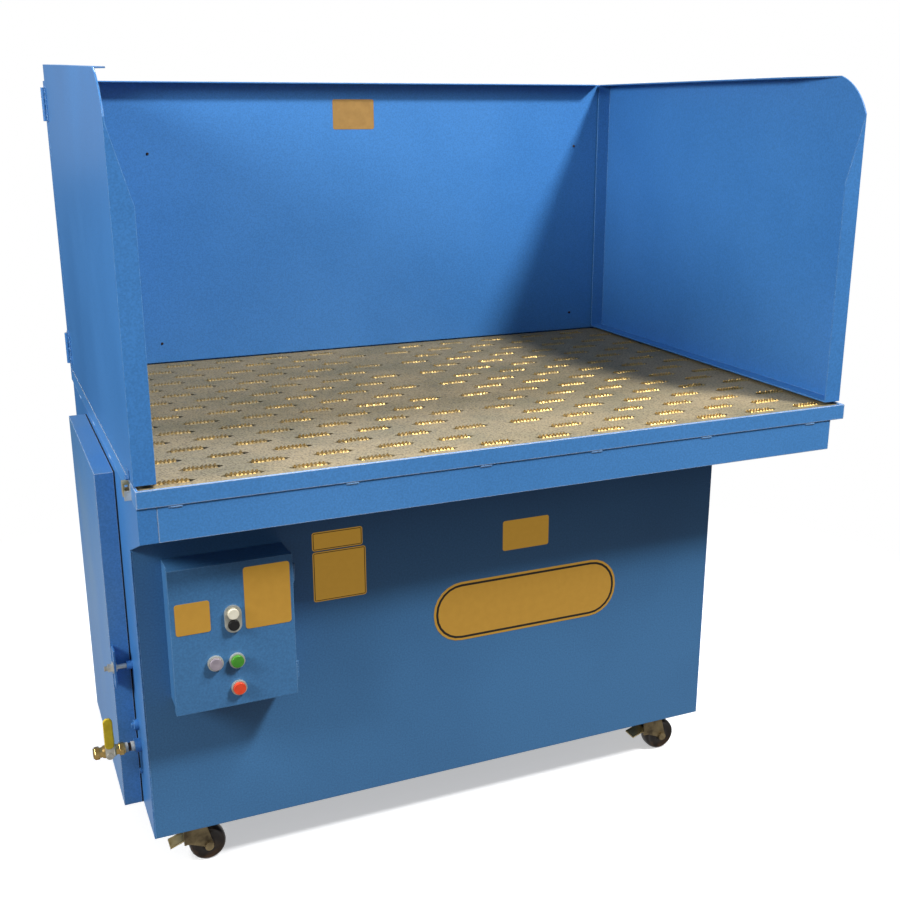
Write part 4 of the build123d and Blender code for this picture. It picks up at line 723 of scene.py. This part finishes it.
# Casters
# A crowned tyre on a dished centre with a pressed hub in place of each plain wheel, and four bolts in
# each plate. Half of the tyre's profile runs from its bore out to its crown, in millimetres from the
# middle of its width and from its axle.
half_tyre = [(16, 5.2), (16, 12), (14.2, 13.5), (12.4, 16), (11.8, 24), (13.6, 29), (15.6, 31.5),
             (15.8, 33.5), (13, 36.2), (8, 37.6)]
tyre_profile = ([(-along * mm, radius * mm) for along, radius in half_tyre] + [(0, 38 * mm)]
                + [(along * mm, radius * mm) for along, radius in reversed(half_tyre)])
wheel_to_king_pin, bolt_spread_x, bolt_spread_y = 20 * mm, 37 * mm, 25 * mm
plate_wall, plate_bolt_radius = 4 * mm, 5 * mm
plate_bolts = bmesh.new()
for corner in caster_corners:
    node = f"caster_wheel_{corner}"
    low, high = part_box(node)
    tyre = bmesh.new()
    turned(tyre, (low + high) / 2, backward, tyre_profile, sides=56, closed=True)
    piece = keep(f"{node}_tyre", tyre, node_body[node], wheel_tyre, smooth=True)
    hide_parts(node)
    king_x = low.x + wheel_to_king_pin
    low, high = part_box(f"caster_yoke_{corner}")
    king_y = (low.y + high.y) / 2
    for x in (king_x - bolt_spread_x, king_x + bolt_spread_x):
        for y in (king_y - bolt_spread_y, king_y + bolt_spread_y):
            hex_head(plate_bolts, (x, y, cabinet_low.z - plate_wall), downward, plate_bolt_radius)
keep("caster_plate_bolts", plate_bolts, "cabinet", bright_zinc)

# Filter cartridges: pleats round the media, and two straps
pleat_count, pleat_crest, pleat_valley, pleat_margin = 110, 137 * mm, 132.5 * mm, 15 * mm
strap_shares, strap_width, strap_inside, strap_outside = (0.35, 0.68), 16 * mm, 136.6 * mm, 137.5 * mm
strap_profile = [(0, strap_inside), (0, strap_outside), (strap_width, strap_outside),
                 (strap_width, strap_inside)]
for node in ("filter_lower", "filter_upper"):
    low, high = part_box(node)
    centre = (low + high) / 2
    folds = 2 * pleat_count
    pleats = bmesh.new()
    ends = []
    for x in (low.x + pleat_margin, high.x - pleat_margin):
        ring = [(2 * math.pi * i / folds, pleat_crest if i % 2 else pleat_valley) for i in range(folds)]
        ends.append([pleats.verts.new((x, centre.y + math.cos(a) * r, centre.z + math.sin(a) * r))
                     for a, r in ring])
    for i in range(folds):
        j = (i + 1) % folds
        pleats.faces.new([ends[0][i], ends[0][j], ends[1][j], ends[1][i]])
    keep(f"{node}_pleats", pleats, node_body[node], filter_felt)
    straps = bmesh.new()
    for share in strap_shares:
        x = low.x + (high.x - low.x) * share
        turned(straps, (x, centre.y, centre.z), rightward, strap_profile, sides=96, closed=True)
    keep(f"{node}_straps", straps, node_body[node], galvanised, smooth=True)


# Floor of white paper
# To the camera it fades to pure white 2 m out. To the light it is a dull floor, so that it sends little
# glare up at the cabinet, and glossy faces see its glare fade with distance.
floor_half, pure_white = 30, (1, 1, 1, 1)
fade_start, fade_end, glare_start, glare_end = 1.1, 2.0, 1.4, 3.4
floor_mesh = bmesh.new()
bmesh.ops.create_grid(floor_mesh, x_segments=2, y_segments=2, size=floor_half)
floor_data = bpy.data.meshes.new("studio_floor")
floor_mesh.to_mesh(floor_data)
floor_mesh.free()
floor = bpy.data.objects.new("studio_floor", floor_data)
bpy.context.scene.collection.objects.link(floor)
paper, tree, place = new_finish("white_floor_paper")
seen = add_node(tree, "LightPath")
matt = add_node(tree, "BsdfDiffuse", {"Color": linear("E8E8E8")})
glow = add_node(tree, "Emission", {"Color": pure_white, "Strength": 0.45})
lit_paper = add_node(tree, "AddShader", {0: matt.outputs[0], 1: glow.outputs[0]})
blank = add_node(tree, "Emission", {"Color": pure_white, "Strength": 1.0})
distance = add_node(tree, "VectorMath", {0: place}, operation="LENGTH").outputs["Value"]
fade = add_node(tree, "MapRange", {"Value": distance, "From Min": fade_start, "From Max": fade_end})
shown = add_node(tree, "MixShader", {0: fade.outputs["Result"], 1: lit_paper.outputs[0],
                                     2: blank.outputs[0]})
dull = add_node(tree, "BsdfDiffuse", {"Color": linear("404040")})
dimming = add_node(tree, "MapRange", {"Value": distance, "From Min": glare_start, "From Max": glare_end,
                                      "To Min": 0.45, "To Max": 0.03})
glare = add_node(tree, "Emission", {"Color": pure_white, "Strength": dimming.outputs["Result"]})
unseen = add_node(tree, "MixShader", {0: seen.outputs["Is Glossy Ray"], 1: dull.outputs[0],
                                      2: glare.outputs[0]})
close_finish(paper, add_node(tree, "MixShader", {0: seen.outputs["Is Camera Ray"], 1: unseen.outputs[0],
                                                 2: shown.outputs[0]}))
floor_data.materials.append(paper)

# World: white to the camera and through glass, and a dim cool light on the table
world = bpy.data.worlds.new("studio")
world.use_nodes = True
bpy.context.scene.world = world
tree = world.node_tree
tree.nodes.clear()
seen = add_node(tree, "LightPath")
shown = add_node(tree, "Math", {0: seen.outputs["Is Camera Ray"], 1: seen.outputs["Is Transmission Ray"]},
                 operation="MAXIMUM")
dim = add_node(tree, "Background", {"Color": linear("F4F6FA"), "Strength": 0.31})
white = add_node(tree, "Background", {"Color": pure_white, "Strength": 1.0})
sky = add_node(tree, "MixShader", {0: shown.outputs[0], 1: dim.outputs[0], 2: white.outputs[0]})
tree.links.new(sky.outputs[0], add_node(tree, "OutputWorld").inputs["Surface"])


# Lamps
def softbox(name, place, aim, size, power):
    """A round lamp aimed at a point; size across in metres, power in watts."""
    lamp = bpy.data.lights.new(name, "AREA")
    lamp.shape = "DISK"
    lamp.size = size
    lamp.energy = power
    holder = bpy.data.objects.new(name, lamp)
    bpy.context.scene.collection.objects.link(holder)
    holder.location = place
    holder.rotation_euler = (Vector(aim) - Vector(place)).to_track_quat("-Z", "Y").to_euler()


softbox("high_key", (3.05, -3.71, 6.34), (0, 0, 0.8), 1.0, 445)
softbox("ceiling_light", (2.05, -1.9, 4.3), (0, 0, 0.8), 0.7, 68)
softbox("left_fill", (-3.9, -1.2, 2.85), (0, 0, 1.0), 1.5, 175)
softbox("rear_light", (0.9, 3.4, 4.35), (0, -0.3, 0.9), 0.7, 140)
